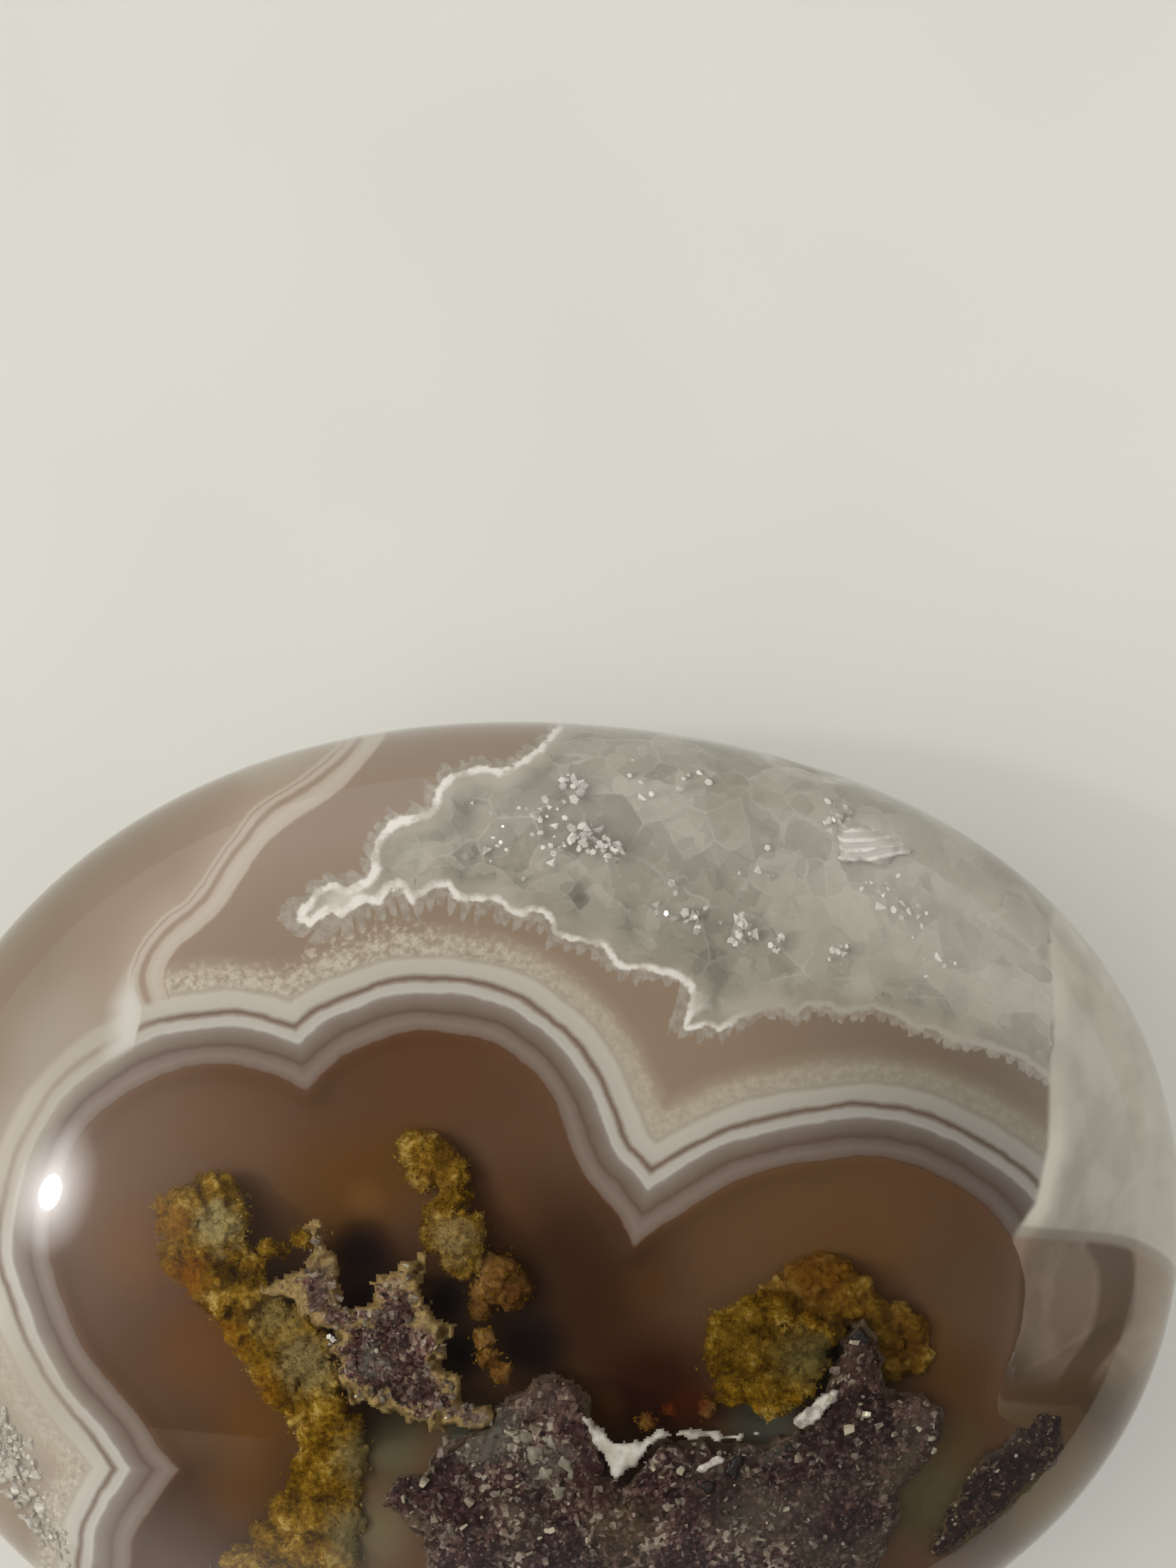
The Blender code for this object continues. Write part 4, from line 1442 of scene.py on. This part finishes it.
MOSS_STAINS = [
    # x, y, radius, strength, colour
    (-15.6, 0.3, 1.7, 0.75, rgb(180, 168, 116)),
    (-3.7, -0.7, 1.8, 0.7, rgb(168, 146, 96)),
    (-11.3, -6.6, 2.2, 0.8, rgb(142, 128, 86)),
    (-12.8, -4.2, 1.8, 0.7, rgb(144, 128, 78)),
    (-15.3, -5.6, 1.6, 0.6, rgb(146, 96, 8)),
    (-13.8, -7.8, 1.5, 0.6, rgb(142, 94, 8)),
    (-8.4, -11.6, 2.4, 0.8, rgb(118, 108, 72)),
    (-8.8, -15.4, 2.6, 0.8, rgb(126, 118, 84)),
    (13.6, -7.2, 2.2, 0.7, rgb(112, 106, 66)),
    (11.0, -6.4, 3.4, 0.5, rgb(92, 68, 14)),
    (14.2, -3.2, 2.8, 0.8, rgb(108, 66, 2)),
    (7.2, -9.8, 2.4, 0.9, rgb(92, 36, 8)),
    (-17.3, -2.2, 1.7, 0.7, rgb(152, 94, 4)),
    (-18.0, 0.6, 1.2, 0.6, rgb(150, 100, 16)),
    (-4.6, 2.6, 1.6, 0.5, rgb(140, 102, 34)),
    (18.8, -7.0, 2.0, 0.6, rgb(96, 62, 16)),
]
OCHRE_TONES = [(0.0, rgb(70, 46, 3)), (0.4, rgb(122, 90, 10)), (0.75, rgb(152, 118, 30)),
               (1.0, rgb(196, 168, 90))]
DEEP_TONES = [(0.0, rgb(92, 58, 20)), (0.4, rgb(120, 84, 36)), (0.75, rgb(142, 104, 54)),
              (1.0, rgb(156, 120, 70))]
OCHRE = mossy("ochre_moss", OCHRE_TONES, 1.0, 4.8)
DEEP_OCHRE = mossy("deep_moss", DEEP_TONES, 1.0, 5.0)

# %% The plumes
LEFT_PLUME = [
    # x, y, depth, size
    (-17.2, 0.9, 1.6, 1.30), (-15.6, 1.6, 1.9, 1.20), (-16.0, -0.2, 1.3, 1.35), (-17.3, -1.2, 1.8, 1.15),
    (-16.2, -2.2, 1.6, 1.15), (-15.4, -3.4, 1.7, 0.95), (-14.9, -1.0, 1.5, 0.80), (-14.8, 0.6, 1.2, 0.70),
    (-14.6, -4.7, 1.7, 0.95), (-13.9, -5.7, 1.7, 0.95), (-13.1, -6.9, 1.6, 1.00), (-12.4, -8.1, 1.7, 0.95),
    (-14.0, -2.0, 1.0, 0.60), (-13.2, -0.9, 1.3, 0.40), (-12.5, -1.0, 1.2, 0.35), (-14.0, -3.3, 1.1, 0.85),
    (-13.0, -4.4, 1.1, 0.95), (-12.2, -5.5, 1.1, 1.00), (-11.5, -6.7, 1.1, 0.95), (-10.9, -8.0, 1.1, 0.90),
    (-11.7, -4.8, 1.2, 0.80), (-10.9, -6.0, 1.2, 0.75), (-10.4, -7.4, 1.2, 0.75), (-11.4, -0.4, 1.0, 0.40)]
COLUMN = [
    (-11.7, -8.8, 1.5, 0.90), (-10.5, -9.0, 1.2, 0.95), (-10.7, -10.2, 1.6, 1.15), (-9.6, -10.2, 1.3, 0.90),
    (-10.6, -11.5, 1.7, 1.20), (-9.4, -11.6, 1.4, 0.95), (-11.2, -12.8, 1.8, 1.25), (-9.9, -13.0, 1.5, 1.15),
    (-12.2, -14.2, 1.9, 1.25), (-10.9, -14.4, 1.7, 1.30), (-9.7, -14.4, 1.5, 1.05), (-13.2, -15.6, 2.0, 1.25),
    (-11.8, -15.9, 1.8, 1.40), (-10.2, -16.0, 1.6, 1.30), (-14.6, -17.0, 2.0, 1.30),
    (-12.4, -17.4, 1.9, 1.50), (-9.8, -17.8, 1.8, 1.40), (-12.0, -19.2, 2.0, 1.50)]
MIDDLE_PLUME = [
    (-5.5, 3.7, 2.6, 0.80), (-4.6, 3.3, 2.4, 0.90), (-3.8, 2.4, 2.4, 0.80), (-5.2, 2.5, 2.6, 0.75),
    (-3.6, 1.4, 2.1, 0.70), (-4.3, 0.2, 1.7, 0.95), (-3.4, -0.6, 1.5, 1.10), (-3.5, -1.6, 1.7, 0.85),
    (-4.7, -0.8, 1.9, 0.60)]
RIGHT_PLUME = [
    (9.9, -5.9, 1.9, 0.95), (11.0, -5.3, 1.7, 1.00), (12.2, -5.1, 1.6, 1.05), (9.7, -7.1, 1.9, 1.00),
    (11.0, -6.8, 1.5, 1.25), (12.5, -6.7, 1.4, 1.25), (10.2, -8.5, 1.9, 0.95), (11.5, -8.5, 1.6, 1.15),
    (12.9, -8.3, 1.5, 1.10), (13.5, -6.0, 1.5, 0.95), (13.8, -7.4, 1.3, 0.90), (11.9, -9.3, 1.8, 0.80),
    (14.4, -6.2, 1.4, 0.70)]
DOME_PLUME = [
    (12.6, -4.1, 3.1, 0.95), (13.8, -3.5, 3.0, 1.20), (15.2, -3.5, 3.0, 1.15), (16.3, -4.1, 3.1, 0.90),
    (14.5, -2.9, 3.3, 0.90), (19.0, -6.2, 3.0, 0.85), (19.0, -7.5, 2.9, 0.90), (18.3, -5.4, 3.1, 0.60),
    (14.2, -4.7, 2.9, 1.05), (15.6, -4.6, 3.0, 1.05), (16.9, -5.2, 3.1, 0.95), (17.7, -6.4, 3.0, 0.90),
    (17.9, -7.7, 3.0, 0.85), (14.9, -5.7, 2.9, 0.90)]
BACK_PLUME = [
    (-1.6, -2.6, 2.4, 0.95),
    (-0.9, -3.4, 2.5, 0.85), (-2.2, -3.3, 2.8, 0.80), (-2.6, -4.4, 2.5, 0.50), (-2.5, -5.8, 1.8, 0.45),
    (-2.3, -6.8, 1.6, 0.50), (-1.7, -7.5, 1.5, 0.50), (6.8, -9.7, 2.2, 0.35), (5.6, -10.2, 2.0, 0.40),
    (8.6, -9.6, 2.6, 0.50)]
left_plume = moss_piece("left_plume", LEFT_PLUME, 21, OCHRE)
moss_column = moss_piece("moss_column", COLUMN, 26, OCHRE, rough=0.08, spikes=55.0, spike=0.2, twigs=16)
middle_plume = moss_piece("middle_plume", MIDDLE_PLUME, 22, OCHRE, voxel=0.11)
right_plume = moss_piece("right_plume", RIGHT_PLUME, 23, OCHRE, voxel=0.11)
dome_plume = moss_piece("dome_plume", DOME_PLUME, 24, OCHRE, spikes=8.0, twigs=14)
back_plume = moss_piece("back_plume", BACK_PLUME, 25, DEEP_OCHRE, spikes=8.0, twigs=14)
INNER_PIECES = [left_chip, main_rock, dark_chip, left_plume, moss_column, middle_plume, right_plume,
                dome_plume, back_plume]

# %% [markdown]
# ## Grit, crystals and glints
# Small crystals stand everywhere in the stone: pale grit in the matrix, a crust of white points at
# the lower left, and in the quartz small broken faces, which flash where they lean towards the
# lamp. One tree makes them all from loose points: a short prism with a few flat sides on each
# point, turned at random about a direction that it is given. The points keep their own tone, and
# the finished prisms inherit it. The dust about the moss is made by the same tree.

# %% A tree of prisms
def crystal_tree():
    tree, given, result = new_tree("loose_crystals", [
        ("Sides", "NodeSocketInt", 6), ("Top", "NodeSocketFloat", 0.35), ("Length", "NodeSocketFloat", 1.5),
        ("Lean", "NodeSocketFloat", 0.4), ("Turn", "NodeSocketFloat", 0.0),
        ("Narrow", "NodeSocketFloat", 0.0), ("Seed", "NodeSocketInt", 0),
        ("Material", "NodeSocketMaterial", None)])
    size = add(tree, "GeometryNodeInputNamedAttribute", {"Name": "size"}, data_type="FLOAT")
    prism = add(tree, "GeometryNodeMeshCone", {
        "Vertices": given.outputs["Sides"], "Radius Top": given.outputs["Top"], "Radius Bottom": 0.5,
        "Depth": given.outputs["Length"]})
    low = add(tree, "ShaderNodeCombineXYZ", {
        "X": math_node(tree, "MULTIPLY", given.outputs["Lean"], -1.0),
        "Y": math_node(tree, "MULTIPLY", given.outputs["Lean"], -1.0), "Z": 0.0})
    high = add(tree, "ShaderNodeCombineXYZ", {"X": given.outputs["Lean"], "Y": given.outputs["Lean"],
                                              "Z": FULL_TURN})
    turn = add(tree, "FunctionNodeRandomValue", {"Min": low.outputs[0], "Max": high.outputs[0],
                                                 "Seed": given.outputs["Seed"]}, data_type="FLOAT_VECTOR")
    aim = add(tree, "ShaderNodeCombineXYZ", {"Y": given.outputs["Turn"]})
    both = add(tree, "FunctionNodeRotateRotation", {"Rotation": turn.outputs["Value"],
                                                    "Rotate By": aim.outputs[0]}, rotation_space="GLOBAL")
    least = math_node(tree, "SUBTRACT", 1.0, given.outputs["Narrow"])
    slimmest = add(tree, "ShaderNodeCombineXYZ", {"X": least, "Y": least, "Z": 1.0})
    shape = add(tree, "FunctionNodeRandomValue", {"Min": slimmest.outputs[0], "Max": (1.0, 1.0, 1.0),
                                                  "Seed": given.outputs["Seed"]}, data_type="FLOAT_VECTOR")
    scale = add(tree, "ShaderNodeVectorMath", {0: shape.outputs["Value"],
                                               "Scale": size.outputs["Attribute"]}, operation="SCALE")
    placed = add(tree, "GeometryNodeInstanceOnPoints", {
        "Points": given.outputs["Geometry"], "Instance": prism.outputs["Mesh"],
        "Rotation": both.outputs[0], "Scale": scale.outputs[0]})
    real = add(tree, "GeometryNodeRealizeInstances", {"Geometry": placed.outputs[0]})
    last = add(tree, "GeometryNodeSetMaterial", {"Geometry": real.outputs[0],
                                                 "Material": given.outputs["Material"]})
    tree.links.new(last.outputs[0], result.inputs[0])
    return tree


CRYSTAL_TREE = crystal_tree()


def chips_in(outline, count, seed, depth, sizes, keep_off=0.0):
    """Places on a depth under the face, scattered in an outline, with sizes and tones."""
    chance = np.random.default_rng(seed)
    ring = on_face(outline)
    low, high = ring.min(axis=0), ring.max(axis=0)
    spots = chance.uniform(low, high, (count * 6, 2))
    inside = within(*spots.T, ring) & (bearing_of(*spots.T)[1] < RIM_LIMIT)
    inside &= gap_to_ring(*spots.T, ring) > keep_off
    spots = spots[inside][:count]
    size = sizes[0] + (sizes[1] - sizes[0]) * chance.random(len(spots)) ** 2.5
    under = chance.uniform(depth[0], depth[1], len(spots))
    z = face_over(*spots.T) - under
    return np.column_stack((spots, z)), size, chance.random(len(spots))


def crystals(name, places, sizes, tones, material, seed, sides=6, top=0.3, length=1.2, lean=0.5, turn=0.0,
             narrow=0.0):
    seeds = seed_points(name + "_seeds", places, size=np.asarray(sizes) * MM, tone=tones)
    return grown(name, seeds, CRYSTAL_TREE, sides=sides, top=top, length=length, lean=lean,
                 turn=math.radians(turn), narrow=narrow, seed=seed, material=material)


def crystal_material(name, stops, roughness, specular=0.5):
    material, tree, surface, where = new_material(name)
    frost = noise(tree, where, 0.3, 2.0)
    colour = ramp(tree, stored(tree, "tone"), stops)
    colour = mix(tree, spread(tree, frost, 0.35, 0.65, 0.0, 0.3), colour, stops[-1][1])
    finish(surface, colour, roughness, specular)
    return material


GRIT = crystal_material("pale_grit", [(0.0, rgb(60, 38, 36)), (0.5, rgb(96, 76, 68)),
                                      (0.82, rgb(140, 126, 106)), (1.0, rgb(212, 204, 180))], 0.45, 0.3)
FROSTED = crystal_material("frosted_quartz", [(0.0, rgb(158, 151, 138)), (0.6, rgb(180, 173, 160)),
                                              (0.9, rgb(200, 194, 182)), (1.0, rgb(224, 220, 210))], 0.3, 0.3)
GLINTING = crystal_material("glinting_quartz", [(0.0, rgb(166, 164, 156)), (0.4, rgb(196, 194, 187)),
                                                (0.75, rgb(226, 225, 220)), (1.0, rgb(252, 252, 248))],
                            0.16, 1.0)

# %% Scatter the grit and the crystals
GLINT_TURN = -23.0          # faces leaned this far to the left send the lamp's light up
SLIVER_TURN = -30.0
rock_grit = crystals("rock_grit", *chips_in(MAIN_ROCK, 620, 31, (0.30, 0.50), (0.08, 0.66), 0.3), GRIT, 31,
                     sides=4, top=0.30, length=0.8, lean=1.5, narrow=0.65)
chip_grit = crystals("chip_grit", *chips_in(LEFT_CHIP, 170, 32, (0.30, 0.48), (0.08, 0.56), 0.3), GRIT, 32,
                     sides=4, top=0.30, length=0.8, lean=1.5, narrow=0.65)
dark_grit = crystals("dark_grit", *chips_in(DARK_CHIP, 60, 33, (0.16, 0.22), (0.08, 0.36), 0.2), GRIT, 33,
                     sides=5, top=0.36, length=0.4, lean=0.5, narrow=0.5)
CHIP_CLUSTERS = [
    # x, y, spread, count, size
    (3.0, 21.6, 0.5, 16, 0.30), (1.6, 20.3, 0.7, 22, 0.26), (3.4, 19.6, 0.6, 30, 0.28),
    (4.6, 18.6, 0.5, 22, 0.28), (2.6, 18.4, 0.7, 20, 0.24), (-0.6, 19.6, 0.9, 16, 0.2),
    (7.6, 15.6, 0.7, 14, 0.24), (9.1, 15.0, 0.4, 14, 0.26), (11.3, 14.3, 0.5, 26, 0.34),
    (13.0, 13.6, 0.4, 14, 0.26), (16.1, 12.9, 0.4, 12, 0.26), (16.4, 19.9, 0.45, 30, 0.34),
    (16.2, 20.7, 0.3, 16, 0.26), (19.6, 14.6, 0.6, 12, 0.24), (18.2, 16.4, 0.7, 16, 0.22),
    (12.4, 17.6, 0.7, 6, 0.28), (9.4, 21.4, 0.8, 8, 0.26), (6.4, 22.0, 0.8, 8, 0.24),
    (21.2, 12.0, 0.4, 6, 0.24), (20.6, 19.2, 0.3, 6, 0.2), (-24.9, -11.5, 1.0, 30, 0.3),
    (-25.3, -14.6, 0.9, 24, 0.3), (20.9, 8.1, 0.05, 2, 0.22),
    (-10.1, -5.6, 0.12, 3, 0.16), (-9.1, -6.0, 0.2, 3, 0.14), (-8.0, -7.1, 0.3, 5, 0.12)]


def clustered(seed, depth, larger, share):
    """The clusters of small broken faces, as places, sizes and tones."""
    chance = np.random.default_rng(seed)
    places, sizes = [], []
    for x, y, wide, count, size in CHIP_CLUSTERS:
        count = max(2, int(share * count))
        spots = on_face(np.array((x, y)) + chance.normal(size=(count, 2)) * 0.8 * wide)
        under = chance.uniform(*depth, count)
        z = face_over(*spots.T) - under
        places.append(np.column_stack((spots, z)))
        sizes.append(size * larger * chance.uniform(0.3, 1.0, count))
    places, sizes = np.vstack(places), np.concatenate(sizes)
    return places, sizes, chance.random(len(places))


quartz_glints = crystals("quartz_glints", *clustered(41, (0.45, 1.0), 2.5, 0.5), GLINTING, 41,
                         sides=5, top=0.42, length=0.12, lean=0.25, turn=GLINT_TURN, narrow=0.5)
quartz_slivers = crystals("quartz_slivers", *clustered(44, (0.5, 0.95), 4.0, 0.26), GLINTING, 44,
                          sides=3, top=0.3, length=0.2, lean=0.7, turn=SLIVER_TURN, narrow=0.6)
druse_points = crystals("druse_points", *chips_in(DRUSE, 460, 43, (0.55, 0.95), (0.25, 0.8), 0.2),
                        FROSTED, 43, sides=6, top=0.16, length=0.7, lean=0.6)


def dust_about(heaps, count, seed):
    """Specks about the lumps of the plumes, thinning out away from them."""
    chance = np.random.default_rng(seed)
    lumps_of = np.array([lump for heap in heaps for lump in heap])
    picked = lumps_of[chance.choice(len(lumps_of), count, p=lumps_of[:, 3] / lumps_of[:, 3].sum())]
    middle = on_face(picked[:, :2])
    way = chance.normal(size=(count, 3))
    way /= np.linalg.norm(way, axis=1)[:, None]
    away = picked[:, 3] * (1.0 + 0.55 * chance.random(count) ** 2)
    x, y = (middle + way[:, :2] * away[:, None]).T
    level = face_over(*middle.T) - picked[:, 2] + way[:, 2] * away
    z = np.minimum(level, face_over(x, y) - DUST_SKIN)
    return np.column_stack((x, y, z)), chance.uniform(0.05, 0.15, count), chance.random(count)


DUSTY_HEAPS = [LEFT_PLUME, COLUMN, MIDDLE_PLUME, RIGHT_PLUME, BACK_PLUME]
moss_dust = crystals("moss_dust", *dust_about(DUSTY_HEAPS, 6500, 45), OCHRE, 45,
                     sides=4, top=0.15, length=1.4, lean=3.0)

# %% [markdown]
# ## Milky quartz, pale crystals and dark hollows
# A few larger things lie flush in the matrix: a milky white vein that fills the hollow in its top
# edge, two pale crystals, a knot of grey ones and three dark hollows. In the quartz, a
# shell-shaped break shows fine rings like ripples. They are flakes like the matrix, with reliefs
# and edges of their own.

# %% Flakes with their own outlines
MILKY_VEIN = [
    (2.3, -9.6), (3.0, -10.2), (3.6, -10.9), (4.4, -11.15), (5.3, -11.1), (6.1, -10.6), (7.2, -10.6),
    (8.4, -10.75), (9.9, -11.0), (11.4, -10.7), (11.2, -11.1), (9.8, -11.35), (8.3, -11.15),
    (7.0, -11.1), (6.0, -11.5), (5.2, -12.2), (4.5, -12.9), (3.9, -13.0), (3.3, -12.2), (2.8, -11.2),
    (2.5, -10.4)]
LONG_CRYSTAL = [(13.0, -10.6), (13.4, -11.0), (15.3, -9.5), (15.4, -8.9), (15.0, -8.8), (13.1, -10.1)]
SHORT_CRYSTAL = [(7.9, -12.7), (8.2, -13.0), (9.4, -12.5), (9.5, -12.1), (9.2, -12.0), (8.0, -12.3)]
HOLLOWS = [[(9.4, -12.9), (10.1, -13.3), (10.6, -12.6), (10.4, -11.9), (9.9, -12.1)],
           [(8.0, -13.6), (8.7, -13.9), (9.2, -13.5), (8.9, -13.2), (8.2, -13.2)],
           [(16.0, -6.2), (16.3, -6.7), (17.1, -6.7), (17.0, -6.2), (16.5, -5.8)]]
CRYSTAL_KNOT = [(-1.2, -10.2), (-0.2, -9.9), (0.9, -10.4), (1.6, -11.6), (1.9, -12.8), (1.2, -14.1),
                (0.3, -13.9), (-0.6, -12.6), (-1.4, -11.4)]
RIPPLED_SHELL = [(16.2, 17.4), (16.0, 19.0), (16.6, 20.2), (18.2, 20.4), (19.6, 19.6), (20.3, 18.4),
                 (19.8, 17.6), (18.4, 17.1)]


def smooth_stone(name, colour, second, size, roughness):
    """A plain milky or dark finish with a soft cloud in it."""
    material, tree, surface, where = new_material(name)
    cloud = spread(tree, noise(tree, where, size, 3.0), 0.35, 0.65)
    edge = spread(tree, stored(tree, "edge_gap"), 0.0, 0.25)
    finish(surface, mix(tree, edge, second, mix(tree, cloud, colour, second)), roughness, 0.4)
    return material


def ripples(x, y):
    """Rings round the place where the shell was struck."""
    (px, py), = on_face([(17.4, 23.5)])
    away = np.hypot(x - px, (y - py) * 1.6)
    return 0.10 * np.sin(away * 8.0 + 1.6 * lumps(x, y, 0 * x, 0.9)) + 0.12


def crystal_faces(x, y):
    """Flat faces that meet in ridges, as on a knot of grown-together crystals."""
    return 0.30 * (np.abs((1.1 * x + 0.6 * y) % 1.4 - 0.7) + np.abs((0.9 * y - 0.5 * x) % 1.1 - 0.55))


def shell_material():
    """Glassy quartz with pale rings: the crests of its ripples are painted bright, a painted highlight, and
    its troughs grey.
    """
    material, tree, surface, where = new_material("shell_break")
    # Painted highlight: the highest parts of the ripples, where the relief is least, are mixed towards white
    ring = spread(tree, stored(tree, "relief"), 0.16, 0.03)
    patchy = spread(tree, noise(tree, where, 0.9, 3.0), 0.38, 0.6)
    bright = math_node(tree, "MULTIPLY", ring, patchy)
    base = mix(tree, spread(tree, stored(tree, "edge_gap"), 0.0, 0.7), rgb(186, 183, 174),
               rgb(204, 202, 194))
    finish(surface, mix(tree, bright, base, rgb(248, 247, 243)), 0.16, 0.8)
    return material


MILK = smooth_stone("milky_quartz", rgb(226, 224, 216), rgb(190, 184, 172), 0.9, 0.3)
PALE = smooth_stone("pale_crystal", rgb(238, 234, 224), rgb(168, 160, 150), 0.5, 0.25)
# The hollows are flat dark flakes: their dark colour is painted shade, the shade that fills each small hollow
SHADED_HOLLOW = smooth_stone("hollow_shade", rgb(20, 17, 16), rgb(34, 28, 26), 0.5, 0.35)
KNOT = smooth_stone("crystal_knot", rgb(122, 116, 102), rgb(150, 142, 126), 0.6, 0.25)
SHELL = shell_material()
milky_vein = field_piece("milky_vein", MILKY_VEIN, 0.255, 0.5, 0.3, 0.03, MILK, 51)
long_crystal = field_piece("long_crystal", LONG_CRYSTAL, 0.245, 0.4, 0.2, 0.07, PALE, 52, step=0.09)
short_crystal = field_piece("short_crystal", SHORT_CRYSTAL, 0.25, 0.4, 0.2, 0.07, PALE, 53, step=0.09)
hollows = [field_piece(f"hollow_{number}", outline, 0.24, 0.3, 0.15, 0.03, SHADED_HOLLOW, 54 + number, step=0.09)
           for number, outline in enumerate(HOLLOWS, start=1)]
rippled_shell = field_piece("rippled_shell", RIPPLED_SHELL, 0.5, 0.5, 0.6, ripples, SHELL, 58)
crystal_knot = field_piece("crystal_knot", CRYSTAL_KNOT, 0.235, 0.3, 0.2, crystal_faces, KNOT, 59, step=0.1)
INNER_PIECES += [rock_grit, chip_grit, dark_grit, quartz_glints, quartz_slivers, druse_points,
                 moss_dust, milky_vein, long_crystal, short_crystal, rippled_shell, crystal_knot] + hollows

# %% [markdown]
# ## The floor, the light and the camera
# A plain pale floor that glows a little, the soft light of a studio from all round with more of it
# from a wide window on the left, and a small bright lamp in that window's middle, whose glint
# sits on the left of the dome. The camera looks straight down.

# %% Floor, light and camera
FLOOR_GLOW = 0.29           # the sheet is lit from below a little, so shadows on it stay pale
FLOOR_HALF = 900.0


def floor_material():
    material, tree, surface, where = new_material("floor_paper")
    cloud = noise(tree, where, 30.0, 2.0)
    colour = mix(tree, spread(tree, cloud, 0.3, 0.7), rgb(163, 162, 156), rgb(158, 157, 150))
    finish(surface, colour, 0.9, 0.1)
    surface.inputs["Emission Color"].default_value = rgb(255, 253, 243)
    surface.inputs["Emission Strength"].default_value = FLOOR_GLOW
    return material


def floor_plane():
    corners = [(FLOOR_HALF * x, FLOOR_HALF * y, 0.0) for x, y in ((-1, -1), (1, -1), (1, 1), (-1, 1))]
    return piece_from("floor", corners, [[0, 1, 2, 3]], floor_material(), smooth=False)


def lamp(name, place_mm, size, power, colour):
    """A round lamp that faces the stone."""
    light = bpy.data.lights.new(name, "AREA")
    light.shape = "DISK"
    light.size = size * MM
    light.energy = power
    light.color = colour
    holder = bpy.data.objects.new(name, light)
    holder.location = Vector(place_mm) * MM
    aim = Vector((0.0, 0.0, GIRDLE * MM)) - holder.location
    holder.rotation_euler = aim.to_track_quat("-Z", "Y").to_euler()
    bpy.context.scene.collection.objects.link(holder)
    return holder


LAMP_PLACE = (-430.0, 50.0, 430.0)
LAMP_SIZE = 45.0
LAMP_POWER = 0.7
LAMP_COLOUR = (1.0, 0.98, 0.95)
ROOM_COLOUR = (1.0, 0.985, 0.955, 1.0)
ROOM_SIDES = 1.08           # strength of the room's light near the horizon
ROOM_OVERHEAD = 0.52        # and overhead
MIRRORED_OVERHEAD = 0.012   # and overhead, as the polish mirrors it
DARK_SIDE = (0.62, -0.78, 0.0)
DARK_LEVEL = 0.14           # what is left of the room's light there
WINDOW_LIGHT = 2.75         # what the window adds to the light on the stone
WINDOW_GLOW = 0.5           # and to what the polish mirrors
LAMP_GLOW = 5.0             # the haze round the lamp, as the polish mirrors it


def soft_room():
    """Soft light from all round, and more of it from a wide window about the lamp.

    The photographer leans over the stone, so what the polish mirrors from overhead is dark. At the
    lower right a dark thing stands near the horizon.
    """
    world = bpy.data.worlds.new("soft_room")
    world.use_nodes = True
    tree = world.node_tree
    where = add(tree, "ShaderNodeTexCoord").outputs["Generated"]
    parts = add(tree, "ShaderNodeSeparateXYZ", {"Vector": where}).outputs
    soft = spread(tree, parts["Z"], 0.35, 0.85, ROOM_SIDES, ROOM_OVERHEAD)
    seen = spread(tree, parts["Z"], 0.35, 0.85, ROOM_SIDES, MIRRORED_OVERHEAD)
    towards = vector_math(tree, "DOT_PRODUCT", where, DARK_SIDE, out="Value")
    shade = spread(tree, towards, 0.45, 0.9, 1.0, DARK_LEVEL)
    ray = add(tree, "ShaderNodeLightPath").outputs
    mirrored_ray = math_node(tree, "SUBTRACT", ray["Is Glossy Ray"], ray["Is Transmission Ray"],
                             clamp=True)
    lamp_way = tuple(Vector(LAMP_PLACE).normalized())
    to_lamp = vector_math(tree, "DOT_PRODUCT", where, lamp_way, out="Value")
    soft = math_node(tree, "ADD", soft, spread(tree, to_lamp, 0.80, 0.98, 0.0, WINDOW_LIGHT))
    seen = math_node(tree, "ADD", seen, spread(tree, to_lamp, 0.90, 1.0, 0.0, WINDOW_GLOW))
    seen = math_node(tree, "ADD", seen, spread(tree, to_lamp, 0.988, 1.0, 0.0, LAMP_GLOW))
    light = add(tree, "ShaderNodeMix", {0: mirrored_ray, 2: soft, 3: seen}, data_type="FLOAT").outputs[0]
    background = tree.nodes["Background"]
    background.inputs["Color"].default_value = ROOM_COLOUR
    tree.links.new(math_node(tree, "MULTIPLY", light, shade), background.inputs["Strength"])
    bpy.context.scene.world = world


def straight_down_camera():
    data = bpy.data.cameras.new("camera")
    data.sensor_width = 36.0
    data.lens = data.sensor_width * CAMERA_HEIGHT / PICTURE_HEIGHT
    data.clip_start = 0.01
    camera = bpy.data.objects.new("camera", data)
    camera.location = Vector((*PICTURE_MIDDLE, GIRDLE + CAMERA_HEIGHT)) * MM
    camera.rotation_euler = (0.0, 0.0, PICTURE_ROLL)
    bpy.context.scene.collection.objects.link(camera)
    bpy.context.scene.camera = camera


floor = floor_plane()
soft_room()
lamp("key_lamp", LAMP_PLACE, LAMP_SIZE, LAMP_POWER, LAMP_COLOUR)
straight_down_camera()
bpy.context.scene.view_settings.view_transform = "Standard"

# %% [markdown]
# ## Hand the pieces to the frame
# Everything grew in one stone, so it all rides on the one body. The clear stone stands for the
# solid, and the rest lies inside it.

# %% Ride and replace
for piece in [stone, agate_face, agate_back] + INNER_PIECES:
    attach(piece, "root")
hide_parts(STONE)
